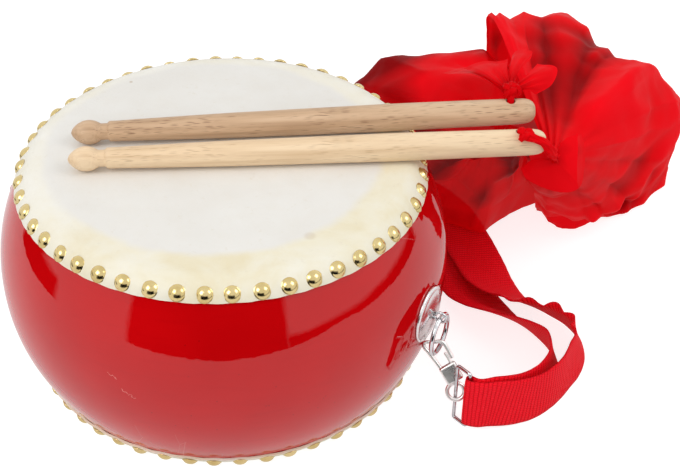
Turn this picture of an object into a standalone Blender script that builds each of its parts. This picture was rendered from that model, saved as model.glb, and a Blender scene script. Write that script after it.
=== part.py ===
"""Waist drum with two sticks, their silk cloths and a clip-on carrying strap.

The drum stands on its lower head. The origin is the centre of that head's
flat face, +Z is up, and the two strap rings lie on the X axis.
Lengths are in metres; MM turns millimetres into metres.
"""
import math

import bmesh
import bpy
from mathutils import Matrix, Vector

MM = 0.001

# Clearances
GAP = 0.3 * MM
SHANK_GAP = 0.2 * MM

# Shell and heads
DRUM_HEIGHT = 143.0 * MM
SKIN_THICKNESS = 1.0 * MM
BELLY_RADIUS = 140.2 * MM
SKIRT_RADIUS = 125.0 * MM
SKIRT_DEPTH = 10.0 * MM
EDGE_ROUND = 16.0 * MM
BELLY_POWER = 2.1
WALL_BELLY = 12.0 * MM
MOUTH_RADIUS = 106.0 * MM
SIDES = 50
INNER_STEPS = 5

# Tacks, one to each side of the shell at each end
TACK_HEAD_RADIUS = 4.9 * MM
TACK_HEAD_HEIGHT = 2.3 * MM
TACK_CROWN_RADIUS = 3.0 * MM
TACK_CROWN_HEIGHT = 1.8 * MM
TACK_SEAT = 0.85 * MM
SHANK_START = 0.5 * MM
TACK_SHANK_WIDTH = 1.7 * MM
TACK_SHANK_LENGTH = 8.5 * MM
TACK_ABOVE_SKIRT = 4.2 * MM
TACK_SIDES = 6

# Strap rings, their plates and split pins
PLATE_RADIUS = 18.0 * MM
PLATE_RISE = 3.2 * MM
PLATE_THICKNESS = 1.0 * MM
PIN_WIRE_RADIUS = 0.85 * MM
PIN_LEG_SPACING = 2.0 * MM
PIN_EYE_RADIUS = 3.5 * MM
PIN_EYE_STANDOFF = 0.8 * MM
PIN_TAIL_LENGTH = 11.0 * MM
PIN_HOLE_RADIUS = 2.5 * MM
WASHER_RADIUS = 8.0 * MM
WASHER_THICKNESS = 1.2 * MM
RING_RADIUS = 12.5 * MM
RING_WIRE_RADIUS = 1.5 * MM

# Snap hooks: lengths run along the hook from its nose, widths across it
HOOK_DIRECTION = Vector((0.665, -0.19, -0.722))
HOOK_FACING = Vector((0.165, -0.741, 0.651))
BOW_WIRE_RADIUS = 1.2 * MM
BOW_SHOULDER = 4.4 * MM
BOW_WIDTH = 11.9 * MM
BOW_NOSE_LENGTH = 13.5 * MM
HOOK_BODY_START = 18.0 * MM
HOOK_BODY_LENGTH = 12.0 * MM
HOOK_BODY_WIDTH = 11.0 * MM
HOOK_BODY_DEPTH = 5.2 * MM
HOOK_BODY_OFFSET = 6.6 * MM
TAIL_EYE_RADIUS = 5.3 * MM
TAIL_EYE_WIRE_RADIUS = 1.3 * MM
GATE_RADIUS = 0.9 * MM
GATE_BARREL_RADIUS = 2.3 * MM
GATE_SLOT_DEPTH = 2.6 * MM
GATE_PIN_RADIUS = 0.7 * MM
GATE_SWING_ROOM = 2.6 * MM
SPRING_WIRE_RADIUS = 0.35 * MM

# Strap: webbing and the wire loops that it is sewn round
WEBBING_WIDTH = 38.0 * MM
WEBBING_THICKNESS = 1.6 * MM
LOOP_WIRE_RADIUS = 1.2 * MM
LOOP_DEPTH = 10.5 * MM
LOOP_HEIGHT = 43.4 * MM
LOOP_CORNER = 1.6 * MM

# Sticks
STICK_LENGTH = 287.0 * MM
BEAD_LENGTH = 22.0 * MM
BEAD_RADIUS = 7.5 * MM
NECK_RADIUS = 6.3 * MM
STICK_RADIUS = 8.5 * MM
BUTT_RADIUS = 8.0 * MM
STICK_WIDEST = 190.0 * MM
CLOTH_HOLE_RADIUS = 3.0 * MM
CLOTH_HOLE_FROM_BUTT = 16.0 * MM
UPPER_TIP = Vector((-87.8, -30.6)) * MM
UPPER_ANGLE = math.radians(31.8)
LOWER_TIP = Vector((-73.6, -54.8)) * MM
LOWER_ANGLE = math.radians(30.5)

# Silk cloths
CLOTH_THICKNESS = 1.0 * MM
KNOT_RADIUS = 7.5 * MM
KNOT_SQUASH = 0.9
TWIST_RADIUS = 4.5 * MM

MID_HEIGHT = DRUM_HEIGHT / 2
SKIRT_HALF = MID_HEIGHT - SKIRT_DEPTH
EDGE_CENTRE_HEIGHT = MID_HEIGHT - EDGE_ROUND
SKIRT_ANGLE = math.acos((SKIRT_HALF - EDGE_CENTRE_HEIGHT) / EDGE_ROUND)
EDGE_CENTRE_RADIUS = SKIRT_RADIUS - EDGE_ROUND * math.sin(SKIRT_ANGLE)
SHELL_ROUND = EDGE_ROUND - SKIN_THICKNESS - GAP
SHELL_END_RADIUS = EDGE_CENTRE_RADIUS + SHELL_ROUND * math.sin(SKIRT_ANGLE)
SHELL_END_HEIGHT = EDGE_CENTRE_HEIGHT + SHELL_ROUND * math.cos(SKIRT_ANGLE)
FACET_FACTOR = math.cos(math.pi / SIDES)


def start_scene():
    """Empty the file and return the collections for parts and cutters."""
    for old in list(bpy.data.objects):
        bpy.data.objects.remove(old, do_unlink=True)
    parts = bpy.data.collections.new("waist_drum")
    cutters = bpy.data.collections.new("cutters")
    bpy.context.scene.collection.children.link(parts)
    bpy.context.scene.collection.children.link(cutters)
    return parts, cutters


PARTS, CUTTERS = start_scene()


def material(name, colour, roughness, metallic=0.0):
    made = bpy.data.materials.new(name)
    made.use_nodes = True
    shader = made.node_tree.nodes["Principled BSDF"]
    shader.inputs["Base Color"].default_value = (*colour, 1.0)
    shader.inputs["Roughness"].default_value = roughness
    shader.inputs["Metallic"].default_value = metallic
    return made


def link(name, data, collection=PARTS, look=None):
    """Put mesh or curve data in the scene as a named object."""
    made = bpy.data.objects.new(name, data)
    collection.objects.link(made)
    if look:
        data.materials.append(look)
    if collection is CUTTERS:
        made.hide_render = True
        made.display_type = "WIRE"
    return made


def mesh_from(bm, name):
    bmesh.ops.recalc_face_normals(bm, faces=bm.faces)
    mesh = bpy.data.meshes.new(name)
    bm.to_mesh(mesh)
    bm.free()
    return mesh


def turned(name, profile, sides, look, matrix=Matrix(), collection=PARTS):
    """Turn (radius, height) points, listed down the outer side, round Z."""
    bm = bmesh.new()
    points = [bm.verts.new((radius, 0.0, height)) for radius, height in profile]
    closed = profile[0][0] > 0 and profile[-1][0] > 0
    for a, b in zip(points, points[1:]):
        bm.edges.new((a, b))
    if closed:
        bm.edges.new((points[-1], points[0]))
    mesh = bpy.data.meshes.new(name)
    bm.to_mesh(mesh)
    bm.free()
    made = link(name, mesh, collection, look)
    made.matrix_world = matrix
    screw = made.modifiers.new("Turn", "SCREW")
    screw.steps = sides
    screw.render_steps = sides
    screw.use_merge_vertices = True
    screw.merge_threshold = 0.00001
    screw.use_smooth_shade = True
    return made


def arc(centre, radius, start, end, steps):
    """Points (radius, height) on an arc; angles from straight up, outward."""
    points = []
    for i in range(steps + 1):
        angle = start + (end - start) * i / steps
        points.append((
            centre[0] + radius * math.sin(angle),
            centre[1] + radius * math.cos(angle),
        ))
    return points


def smooth_route(points, spacing):
    """Read a Catmull-Rom curve through the points at an even spacing."""
    ends = [points[0] * 2 - points[1], *points, points[-1] * 2 - points[-2]]
    fine = []
    for i in range(1, len(ends) - 2):
        a, b, c, d = ends[i - 1:i + 3]
        for k in range(24):
            t = k / 24
            fine.append(0.5 * (
                2 * b + (c - a) * t + (2 * a - 5 * b + 4 * c - d) * t * t
                + (3 * b - a - 3 * c + d) * t ** 3
            ))
    fine.append(points[-1])
    total = sum((b - a).length for a, b in zip(fine, fine[1:]))
    steps = max(2, round(total / spacing))
    even = [fine[0]]
    walked = 0.0
    for a, b in zip(fine, fine[1:]):
        length = (b - a).length
        while length and walked + length >= len(even) * total / steps - 1e-9:
            if len(even) >= steps:
                break
            share = (len(even) * total / steps - walked) / length
            even.append(a.lerp(b, share))
        walked += length
    even.append(fine[-1])
    return even


def tube(name, points, radius, look, cyclic=False, resolution=1, collection=PARTS):
    """A round wire along points, as a poly curve with filled caps."""
    curve = bpy.data.curves.new(name, "CURVE")
    curve.dimensions = "3D"
    curve.bevel_depth = radius
    curve.bevel_resolution = resolution
    curve.use_fill_caps = True
    spline = curve.splines.new("POLY")
    spline.points.add(len(points) - 1)
    for knot, place in zip(spline.points, points):
        knot.co = (*place, 1.0)
    spline.use_cyclic_u = cyclic
    spline.use_smooth = True
    return link(name, curve, collection, look)


def as_mesh(made):
    """Replace a curve object by a closed mesh object of the same name."""
    name = made.name
    collection = made.users_collection[0]
    shown = made.evaluated_get(bpy.context.evaluated_depsgraph_get())
    mesh = bpy.data.meshes.new_from_object(shown)
    place = made.matrix_world.copy()
    bpy.data.objects.remove(made, do_unlink=True)
    bm = bmesh.new()
    bm.from_mesh(mesh)
    bmesh.ops.remove_doubles(bm, verts=bm.verts, dist=0.000001)
    bmesh.ops.recalc_face_normals(bm, faces=bm.faces)
    bm.to_mesh(mesh)
    bm.free()
    fresh = link(name, mesh, collection)
    fresh.matrix_world = place
    return fresh


def boolean(target, other, operation):
    cut = target.modifiers.new(operation.title(), "BOOLEAN")
    cut.operation = operation
    cut.solver = "EXACT"
    cut.object = other


def cylinder(name, start, end, radius, sides, look=None, collection=PARTS):
    """A cylinder between two points."""
    bm = bmesh.new()
    axis = end - start
    bmesh.ops.create_cone(
        bm, cap_ends=True, segments=sides, radius1=radius, radius2=radius,
        depth=axis.length,
    )
    made = link(name, mesh_from(bm, name), collection, look)
    turn = axis.to_track_quat("Z", "Y").to_matrix().to_4x4()
    made.matrix_world = Matrix.Translation((start + end) / 2) @ turn
    return made


def box(name, size, matrix, look=None, bevel=0.0, collection=PARTS):
    bm = bmesh.new()
    bmesh.ops.create_cube(bm, size=1.0)
    bmesh.ops.scale(bm, vec=size, verts=bm.verts)
    if bevel:
        bmesh.ops.bevel(
            bm, geom=bm.edges[:], offset=bevel, offset_type="OFFSET",
            segments=1, affect="EDGES", clamp_overlap=True,
        )
    made = link(name, mesh_from(bm, name), collection, look)
    made.matrix_world = matrix
    return made


def frame_matrix(origin, x_axis, z_axis):
    """A placement from an origin, an X axis and a rough Z axis."""
    x = x_axis.normalized()
    y = z_axis.cross(x).normalized()
    z = x.cross(y)
    turn = Matrix((x, y, z)).transposed().to_4x4()
    return Matrix.Translation(origin) @ turn


def belly_radius(height):
    """Outer radius of the lacquered shell between the skirts."""
    share = min(1.0, abs(height - MID_HEIGHT) / SHELL_END_HEIGHT)
    return SHELL_END_RADIUS + (BELLY_RADIUS - SHELL_END_RADIUS) * (1 - share ** BELLY_POWER)


def inner_radius(share):
    """Inner radius of the shell, at a share of its half height from the middle."""
    belly = BELLY_RADIUS - WALL_BELLY
    return MOUTH_RADIUS + (belly - MOUTH_RADIUS) * (1 - abs(share) ** BELLY_POWER)


INNER_WALL = inner_radius(1 / INNER_STEPS) * FACET_FACTOR


# Drum
def shell_profile():
    """The shell's section: down the outside, then back up the inside."""
    steps_outside = 9
    centre = (EDGE_CENTRE_RADIUS, MID_HEIGHT + EDGE_CENTRE_HEIGHT)
    upper = arc(centre, SHELL_ROUND, 0.0, SKIRT_ANGLE, 3)
    lower = [(r, DRUM_HEIGHT - z) for r, z in reversed(upper)]
    belly = []
    for i in range(1, steps_outside):
        height = MID_HEIGHT + SHELL_END_HEIGHT * (1 - 2 * i / steps_outside)
        belly.append((belly_radius(height), height))
    half = MID_HEIGHT - SKIN_THICKNESS - GAP
    inside = []
    for i in range(INNER_STEPS + 1):
        share = -1 + 2 * i / INNER_STEPS
        inside.append((inner_radius(share), MID_HEIGHT + half * share))
    return upper + belly + lower + inside


def side_turn(index):
    """Turn that brings the middle of a side of the shell onto the X axis."""
    return Matrix.Rotation(2 * math.pi * index / SIDES, 4, "Z")


HALF_SIDE = Matrix.Rotation(math.pi / SIDES, 4, "Z")


def head_profile():
    """The skin's section, from its middle over the edge to the skirt."""
    centre = (EDGE_CENTRE_RADIUS, MID_HEIGHT + EDGE_CENTRE_HEIGHT)
    outer = arc(centre, EDGE_ROUND, 0.0, SKIRT_ANGLE, 3)
    inner = arc(centre, EDGE_ROUND - SKIN_THICKNESS, SKIRT_ANGLE, 0.0, 3)
    top = (0.0, DRUM_HEIGHT)
    under = (0.0, DRUM_HEIGHT - SKIN_THICKNESS)
    return [top, *outer, *inner, under]


TACK_ANGLE = math.acos((SKIRT_HALF + TACK_ABOVE_SKIRT - EDGE_CENTRE_HEIGHT) / EDGE_ROUND)


def tack_place(index):
    """Placement of an upper tack: its own Z points out of the skin."""
    radius = (EDGE_CENTRE_RADIUS + EDGE_ROUND * math.sin(TACK_ANGLE)) * FACET_FACTOR
    height = MID_HEIGHT + EDGE_CENTRE_HEIGHT + EDGE_ROUND * math.cos(TACK_ANGLE)
    tilt = Matrix.Rotation(TACK_ANGLE, 4, "Y")
    return side_turn(index) @ Matrix.Translation((radius, 0.0, height)) @ tilt


def add_dome(bm, place):
    """A tack's domed head, its flat underside pressed into the skin."""
    height = TACK_SEAT + TACK_CROWN_HEIGHT
    middle = Matrix.Translation((0.0, 0.0, height / 2 - TACK_SEAT))
    made = bmesh.ops.create_cone(
        bm, cap_ends=True, segments=TACK_SIDES, radius1=TACK_HEAD_RADIUS,
        radius2=TACK_CROWN_RADIUS, depth=height, matrix=place @ middle,
    )
    crown = set(made["verts"][1::2])
    lids = [face for face in crown.copy().pop().link_faces if set(face.verts) == crown]
    tip = bmesh.ops.poke(bm, faces=lids)["verts"][0]
    tip.co = place @ Vector((0.0, 0.0, TACK_HEAD_HEIGHT))


def add_point(bm, place, width, length):
    """A square point that starts inside the tack's head and tapers to its tip."""
    middle = Matrix.Translation((0.0, 0.0, SHANK_START - length / 2))
    bmesh.ops.create_cone(
        bm, cap_ends=True, segments=4, radius1=0.0, radius2=width / math.sqrt(2),
        depth=length, matrix=place @ middle @ Matrix.Rotation(math.pi / 4, 4, "Z"),
    )


def mirrored_down(matrix):
    """The same placement at the lower head, mirrored in mid-height."""
    flip = Matrix.Translation((0, 0, DRUM_HEIGHT)) @ Matrix.Scale(-1, 4, Vector((0, 0, 1)))
    return flip @ matrix


def shank_holes(name, places):
    """Pyramid holes for the shanks, wider than them by the clearance."""
    bm = bmesh.new()
    slope = TACK_SHANK_WIDTH / TACK_SHANK_LENGTH
    length = TACK_SHANK_LENGTH + SHANK_START + 2 * SHANK_GAP / slope
    for place in places:
        add_point(bm, place, length * slope, length)
    return link(name, mesh_from(bm, name), CUTTERS)


def make_head(name, profile, places, look):
    """A skin with the tacks that hold it, as one body."""
    head = turned(name, profile, SIDES, look, HALF_SIDE)
    domes = bmesh.new()
    shanks = bmesh.new()
    for place in places:
        add_dome(domes, place)
        add_point(shanks, place, TACK_SHANK_WIDTH, TACK_SHANK_LENGTH)
    for ending, pieces in (("_domes", domes), ("_shanks", shanks)):
        boolean(head, link(name + ending, mesh_from(pieces, name + ending), CUTTERS), "UNION")


def make_drum():
    lacquer = material("red_lacquer", (0.50, 0.002, 0.006), 0.12)
    skin = material("drum_skin", (0.83, 0.80, 0.72), 0.45)
    shell = turned("drum_shell", shell_profile(), SIDES, lacquer, HALF_SIDE)
    upper = [tack_place(i) for i in range(SIDES)]
    lower = [mirrored_down(place) for place in upper]
    boolean(shell, shank_holes("upper_shank_holes", upper), "DIFFERENCE")
    boolean(shell, shank_holes("lower_shank_holes", lower), "DIFFERENCE")
    make_head("top_head", head_profile(), upper, skin)
    low_points = [(r, DRUM_HEIGHT - z) for r, z in reversed(head_profile())]
    make_head("bottom_head", low_points, lower, skin)
    return shell


# Rings, plates and pins: made at +X, then turned to their side
PLATE_BASE = math.sqrt(BELLY_RADIUS ** 2 - PLATE_RADIUS ** 2) + GAP
PLATE_TOP = PLATE_BASE + PLATE_THICKNESS + PLATE_RISE
EYE_X = PLATE_TOP + PIN_EYE_STANDOFF + PIN_EYE_RADIUS
RING_TOP_Z = MID_HEIGHT - (PIN_EYE_RADIUS - PIN_WIRE_RADIUS - RING_WIRE_RADIUS - GAP)
RING_CENTRE = Vector((EYE_X, 0.0, RING_TOP_Z - RING_RADIUS))
RING_FOOT = RING_CENTRE - Vector((0.0, 0.0, RING_RADIUS))
ALONG_X = frame_matrix(Vector((0, 0, MID_HEIGHT)), Vector((0, 0, -1)), Vector((1, 0, 0)))


def plate_profile():
    """Section of the domed plate; heights run outward from the drum's axis."""
    outer = []
    inner = []
    steps = 4
    for i in range(steps + 1):
        share = i / steps
        radius = PIN_HOLE_RADIUS + (PLATE_RADIUS - PIN_HOLE_RADIUS) * share
        rise = PLATE_RISE * (1 - share ** 2)
        outer.append((radius, PLATE_BASE + PLATE_THICKNESS + rise))
        inner.append((radius, PLATE_BASE + rise))
    return outer + inner[::-1]


def split_pin_points():
    """Wire route: bent tail, leg, round the eye, leg, bent tail."""
    washer_back = INNER_WALL - GAP - WASHER_THICKNESS
    bend = washer_back - GAP - PIN_WIRE_RADIUS
    half = PIN_LEG_SPACING / 2
    tail = []
    for i in range(3):
        angle = math.pi / 2 * i / 2
        tail.append(Vector((
            bend + half * 1.2 * (1 - math.cos(angle)),
            0.0,
            MID_HEIGHT + half + half * 1.2 * (1 - math.sin(angle)),
        )))
    upper_leg = [Vector((bend, 0.0, MID_HEIGHT + half + PIN_TAIL_LENGTH)), *tail]
    centre = Vector((EYE_X, 0.0, MID_HEIGHT))
    opening = math.asin(half / PIN_EYE_RADIUS)
    eye = []
    steps = 12
    for i in range(steps + 1):
        angle = math.pi - opening - (2 * math.pi - 2 * opening) * i / steps
        eye.append(centre + PIN_EYE_RADIUS * Vector((math.cos(angle), 0.0, math.sin(angle))))
    lower_leg = []
    for spot in reversed(upper_leg):
        lower_leg.append(Vector((spot.x, 0.0, 2 * MID_HEIGHT - spot.z)))
    return upper_leg + eye + lower_leg


def make_ring_set(side, turn, shell):
    """Plate, washer, split pin and ring on one side of the drum."""
    chrome = material("chrome_" + side, (0.78, 0.78, 0.80), 0.12, 1.0)
    steel = material("steel_" + side, (0.55, 0.55, 0.57), 0.3, 1.0)
    hole = cylinder(
        "pin_hole_" + side, turn @ Vector((100 * MM, 0, MID_HEIGHT)),
        turn @ Vector((160 * MM, 0, MID_HEIGHT)), PIN_HOLE_RADIUS, 10, None, CUTTERS,
    )
    boolean(shell, hole, "DIFFERENCE")
    turned("ring_plate_" + side, plate_profile(), 20, chrome, turn @ ALONG_X)
    face = INNER_WALL - GAP
    washer = [
        (WASHER_RADIUS, face), (WASHER_RADIUS, face - WASHER_THICKNESS),
        (PIN_HOLE_RADIUS, face - WASHER_THICKNESS), (PIN_HOLE_RADIUS, face),
    ]
    turned("pin_washer_" + side, washer, 16, steel, turn @ ALONG_X)
    tube("eye_pin_" + side, [turn @ p for p in split_pin_points()], PIN_WIRE_RADIUS, chrome)
    ring_points = []
    steps = 24
    for i in range(steps):
        angle = 2 * math.pi * i / steps
        spot = Vector((0.0, math.sin(angle), math.cos(angle))) * RING_RADIUS
        ring_points.append(turn @ (RING_CENTRE + spot))
    ring = tube("strap_ring_" + side, ring_points, RING_WIRE_RADIUS, chrome, cyclic=True)
    move_origin(ring, turn @ Vector((EYE_X, 0.0, MID_HEIGHT)))


def move_origin(made, place):
    """Put an object's origin at a point, its shape staying where it is."""
    shift = made.matrix_world.inverted() @ place
    made.data.transform(Matrix.Translation(-shift))
    made.matrix_world = made.matrix_world @ Matrix.Translation(shift)


# Snap hooks, made at +X like the rings
HOOK_U = HOOK_DIRECTION.normalized()
HOOK_N = (HOOK_FACING - HOOK_FACING.dot(HOOK_U) * HOOK_U).normalized()
HOOK_V = HOOK_N.cross(HOOK_U).normalized()
RING_SEAT = BOW_WIRE_RADIUS + RING_WIRE_RADIUS + 2 * GAP
RING_ACROSS = 7.0 * MM
HOOK_NOSE = RING_FOOT - HOOK_V * RING_ACROSS - HOOK_U * (
    RING_SEAT * 1.35 + BOW_SHOULDER * RING_ACROSS / BOW_WIDTH
)


def hook_point(along, across, out=0.0):
    return HOOK_NOSE + HOOK_U * along + HOOK_V * across + HOOK_N * out


GATE_INSET = BOW_WIRE_RADIUS + GATE_RADIUS + GAP
GATE_PIVOT_ALONG = HOOK_BODY_START + 7.5 * MM
GATE_PIVOT_ACROSS = BOW_WIDTH - GATE_INSET
GATE_TIP_ALONG = BOW_SHOULDER + 6.6 * MM
SLOT_INNER = GATE_PIVOT_ACROSS - GATE_BARREL_RADIUS - GATE_SWING_ROOM
SLOT_OUTER = HOOK_BODY_OFFSET + HOOK_BODY_WIDTH / 2 + 2.0 * MM
SLOT_START = HOOK_BODY_START - 2.0 * MM
SLOT_END = GATE_PIVOT_ALONG + GATE_BARREL_RADIUS + 2 * GAP
TAIL_EYE_ALONG = HOOK_BODY_START + HOOK_BODY_LENGTH + TAIL_EYE_RADIUS + 0.2 * MM
TAIL_EYE_ACROSS = 3.2 * MM


def make_hook(side, turn):
    cast = material("cast_zinc_" + side, (0.80, 0.79, 0.77), 0.25, 1.0)
    spring_steel = material("spring_steel_" + side, (0.5, 0.5, 0.52), 0.3, 1.0)

    def at(along, across, out=0.0):
        return turn @ hook_point(along, across, out)

    facing = (turn.to_3x3() @ HOOK_N).normalized()
    lengthwise = (turn.to_3x3() @ HOOK_U).normalized()

    body_middle = HOOK_BODY_START + HOOK_BODY_LENGTH / 2
    body = box(
        "hook_body_" + side, (HOOK_BODY_LENGTH, HOOK_BODY_WIDTH, HOOK_BODY_DEPTH),
        frame_matrix(at(body_middle, HOOK_BODY_OFFSET), lengthwise, facing),
        cast, bevel=1.2 * MM,
    )
    route = smooth_route([
        Vector((HOOK_BODY_START + 2.0 * MM, 2.6 * MM)),
        Vector((8.0 * MM, 1.2 * MM)),
        Vector((1.5 * MM, 0.3 * MM)),
        Vector((-0.4 * MM, 2.0 * MM)),
        Vector((1.9 * MM, 6.8 * MM)),
        Vector((3.6 * MM, 10.6 * MM)),
        Vector((5.6 * MM, BOW_WIDTH)),
        Vector((10.0 * MM, BOW_WIDTH + 0.1 * MM)),
        Vector((BOW_SHOULDER + BOW_NOSE_LENGTH, BOW_WIDTH - 0.2 * MM)),
    ], 2.4 * MM)
    bow = as_mesh(tube(
        "bow_" + side, [at(p.x, p.y) for p in route], BOW_WIRE_RADIUS, None,
        collection=CUTTERS,
    ))
    eye_points = []
    eye_steps = 16
    eye_centre = at(TAIL_EYE_ALONG, TAIL_EYE_ACROSS)
    across = (turn.to_3x3() @ HOOK_V).normalized()
    for i in range(eye_steps):
        angle = 2 * math.pi * i / eye_steps
        eye_points.append(eye_centre + TAIL_EYE_RADIUS * (
            math.cos(angle) * across + math.sin(angle) * lengthwise
        ))
    eye = as_mesh(tube(
        "tail_eye_" + side, eye_points, TAIL_EYE_WIRE_RADIUS, None,
        cyclic=True, collection=CUTTERS,
    ))
    boolean(body, bow, "UNION")
    boolean(body, eye, "UNION")
    slot_middle = at((SLOT_START + SLOT_END) / 2, (SLOT_INNER + SLOT_OUTER) / 2)
    slot = box(
        "gate_slot_" + side, (SLOT_END - SLOT_START, SLOT_OUTER - SLOT_INNER, GATE_SLOT_DEPTH),
        frame_matrix(slot_middle, lengthwise, facing), None, collection=CUTTERS,
    )
    boolean(body, slot, "DIFFERENCE")
    pivot = at(GATE_PIVOT_ALONG, GATE_PIVOT_ACROSS)
    pin_half = HOOK_BODY_DEPTH / 2 - 0.1 * MM
    bore = cylinder(
        "gate_pin_bore_" + side, pivot - facing * 2 * HOOK_BODY_DEPTH,
        pivot + facing * 2 * HOOK_BODY_DEPTH, GATE_PIN_RADIUS + GAP, 10, None, CUTTERS,
    )
    boolean(body, bore, "DIFFERENCE")
    cylinder(
        "gate_pin_" + side, pivot - facing * pin_half, pivot + facing * pin_half,
        GATE_PIN_RADIUS, 10, spring_steel,
    )
    barrel_half = GATE_SLOT_DEPTH / 2 - GAP
    gate = cylinder(
        "hook_gate_" + side, pivot - facing * barrel_half, pivot + facing * barrel_half,
        GATE_BARREL_RADIUS, 12, cast,
    )
    tip = at(GATE_TIP_ALONG, BOW_WIDTH - GATE_INSET)
    rod = as_mesh(tube(
        "gate_rod_" + side, [tip, tip.lerp(pivot, 0.5), pivot.lerp(tip, 0.05)], GATE_RADIUS, None,
        collection=CUTTERS,
    ))
    boolean(gate, rod, "UNION")
    boolean(gate, bore, "DIFFERENCE")
    move_origin(gate, pivot)
    spring_floor = SLOT_INNER + GAP + SPRING_WIRE_RADIUS
    spring_tip = GATE_PIVOT_ACROSS - GATE_RADIUS - GAP - SPRING_WIRE_RADIUS
    spring = smooth_route([
        Vector((SLOT_END - 1.0 * MM, spring_floor)),
        Vector((GATE_PIVOT_ALONG, spring_floor)),
        Vector((GATE_PIVOT_ALONG - 4.0 * MM, (spring_floor + spring_tip) / 2 - 0.4 * MM)),
        Vector((GATE_PIVOT_ALONG - 7.0 * MM, spring_tip)),
    ], 1.5 * MM)
    tube(
        "gate_spring_" + side, [at(p.x, p.y) for p in spring], SPRING_WIRE_RADIUS,
        spring_steel,
    )


# Strap loops
LOOP_SIDE = hook_point(TAIL_EYE_ALONG, TAIL_EYE_ACROSS)
LOOP_OUT = Vector((0.92, -0.38, 0.0)).normalized()


def make_strap_loop(side, turn):
    """Wire frame that links the hook's tail eye to the webbing."""
    wire = material("loop_wire_" + side, (0.70, 0.70, 0.72), 0.2, 1.0)
    half = LOOP_HEIGHT / 2
    corners = [
        LOOP_SIDE + Vector((0, 0, half)),
        LOOP_SIDE + Vector((0, 0, half)) + LOOP_OUT * LOOP_DEPTH,
        LOOP_SIDE - Vector((0, 0, half)) + LOOP_OUT * LOOP_DEPTH,
        LOOP_SIDE - Vector((0, 0, half)),
    ]
    points = []
    for i, corner in enumerate(corners):
        before = (corners[i - 1] - corner).normalized() * LOOP_CORNER
        after = (corners[(i + 1) % 4] - corner).normalized() * LOOP_CORNER
        for share in (0.0, 0.5, 1.0):
            bend = (1 - share) ** 2 * before + share ** 2 * after
            points.append(turn @ (corner + bend))
    return tube("strap_loop_" + side, points, LOOP_WIRE_RADIUS, wire, cyclic=True)


# Webbing
NEAR_BAR = LOOP_SIDE + LOOP_OUT * LOOP_DEPTH
FAR_TURN = Matrix.Rotation(math.pi, 4, "Z")
WRAP_RADIUS = LOOP_WIRE_RADIUS + GAP + WEBBING_THICKNESS / 2
STATION_SPACING = 12.0 * MM

# Each row: x and y in millimetres, lean in degrees (90 stands on edge, 0 lies
# flat) and the height in millimetres that the lower edge is held off the ground
OUTER_RUN = [
    (181, -12.4, 90, 4.0), (189, -6.6, 90, 3.4), (199, 2, 90, 1.4), (209, 14, 90, 0),
    (215, 26, 90, 0), (218, 38, 88, 0), (219, 51, 84, 0), (219, 65, 78, 0), (215, 79, 70, 0),
    (207, 90, 62, 0), (195, 97, 55, 0), (181, 100, 47, 0), (167, 103, 38, 0), (153, 109, 27, 0),
    (139, 121, 16, 0), (124, 139, 9, 0.6), (105, 160, 4, 2.2), (80, 184, 2, 2.6),
    (48, 199, 2, 2.6), (10, 203, 2, 2.6), (-28, 202, 2, 1.6),
]
REST_RUN = [
    (-66, 194, 2, 0), (-102, 182, 4, 0), (-136, 160, 10, 0), (-166, 128, 24, 0),
    (-188, 92, 48, 0), (-198, 58, 74, 0), (-196.5, 38, 86, 0), (-190, 22, 90, 2.4),
    (-181, 12.4, 90, 4.0),
]
INNER_RUN = [
    (179.4, -9.4, 90, 4.0), (187, -3, 90, 3.4), (195, 5, 90, 1.4), (202, 14, 89, 0),
    (207, 25, 89, 0), (209, 38, 86, 0), (208, 50, 79, 0), (203, 62, 70, 0), (192, 71, 60, 0),
    (178, 78, 50, 0), (163, 84, 38, 0), (148, 92, 24, 0), (133, 103, 12, 0), (117, 120, 4, 0),
    (101, 139, 2, 0), (82, 160, 2, 0), (56, 182, 2, 0), (26, 196, 2, 0), (-6, 201, 2, 0),
]
SEWN_END = [(-191.5, 35, 88, 0), (-187.0, 23.0, 90, 2.4), (-179.4, 15.0, 90, 4.0)]


def webbing_stations(rows):
    """Centre and width direction of the webbing at each row of a run."""
    spots = []
    for x, y, lean, lift in rows:
        angle = math.radians(lean)
        height = WEBBING_WIDTH / 2 * math.sin(angle) + WEBBING_THICKNESS / 2 * math.cos(angle)
        spots.append(Vector((x * MM, y * MM, height + GAP + lift * MM)))
    stations = []
    for i, (spot, row) in enumerate(zip(spots, rows)):
        ahead = spots[min(i + 1, len(spots) - 1)] - spots[max(i - 1, 0)]
        left = Vector((-ahead.y, ahead.x, 0)).normalized()
        angle = math.radians(row[2])
        stations.append((spot, left * math.cos(angle) + Vector((0, 0, math.sin(angle)))))
    return stations


def wrap_stations(bar, outward, first_side):
    """The webbing's half turn round a bar; outward points away from the hook."""
    upright = Vector((0, 0, 1))
    side = upright.cross(outward) * first_side
    stations = []
    for i in range(5):
        angle = math.pi * i / 4
        spot = bar + WRAP_RADIUS * (math.cos(angle) * side - math.sin(angle) * outward)
        stations.append((spot, upright))
    return stations


def webbing_route():
    """All stations, from the sewn end at the far hook to the end sewn down behind."""
    far_bar = FAR_TURN @ NEAR_BAR
    far_out = FAR_TURN.to_3x3() @ LOOP_OUT
    far = webbing_stations(SEWN_END) + wrap_stations(far_bar, far_out, -1)
    long_run = webbing_stations(OUTER_RUN + REST_RUN)[::-1]
    near = wrap_stations(NEAR_BAR, LOOP_OUT, -1)
    return far + long_run + near + webbing_stations(INNER_RUN)


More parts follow.
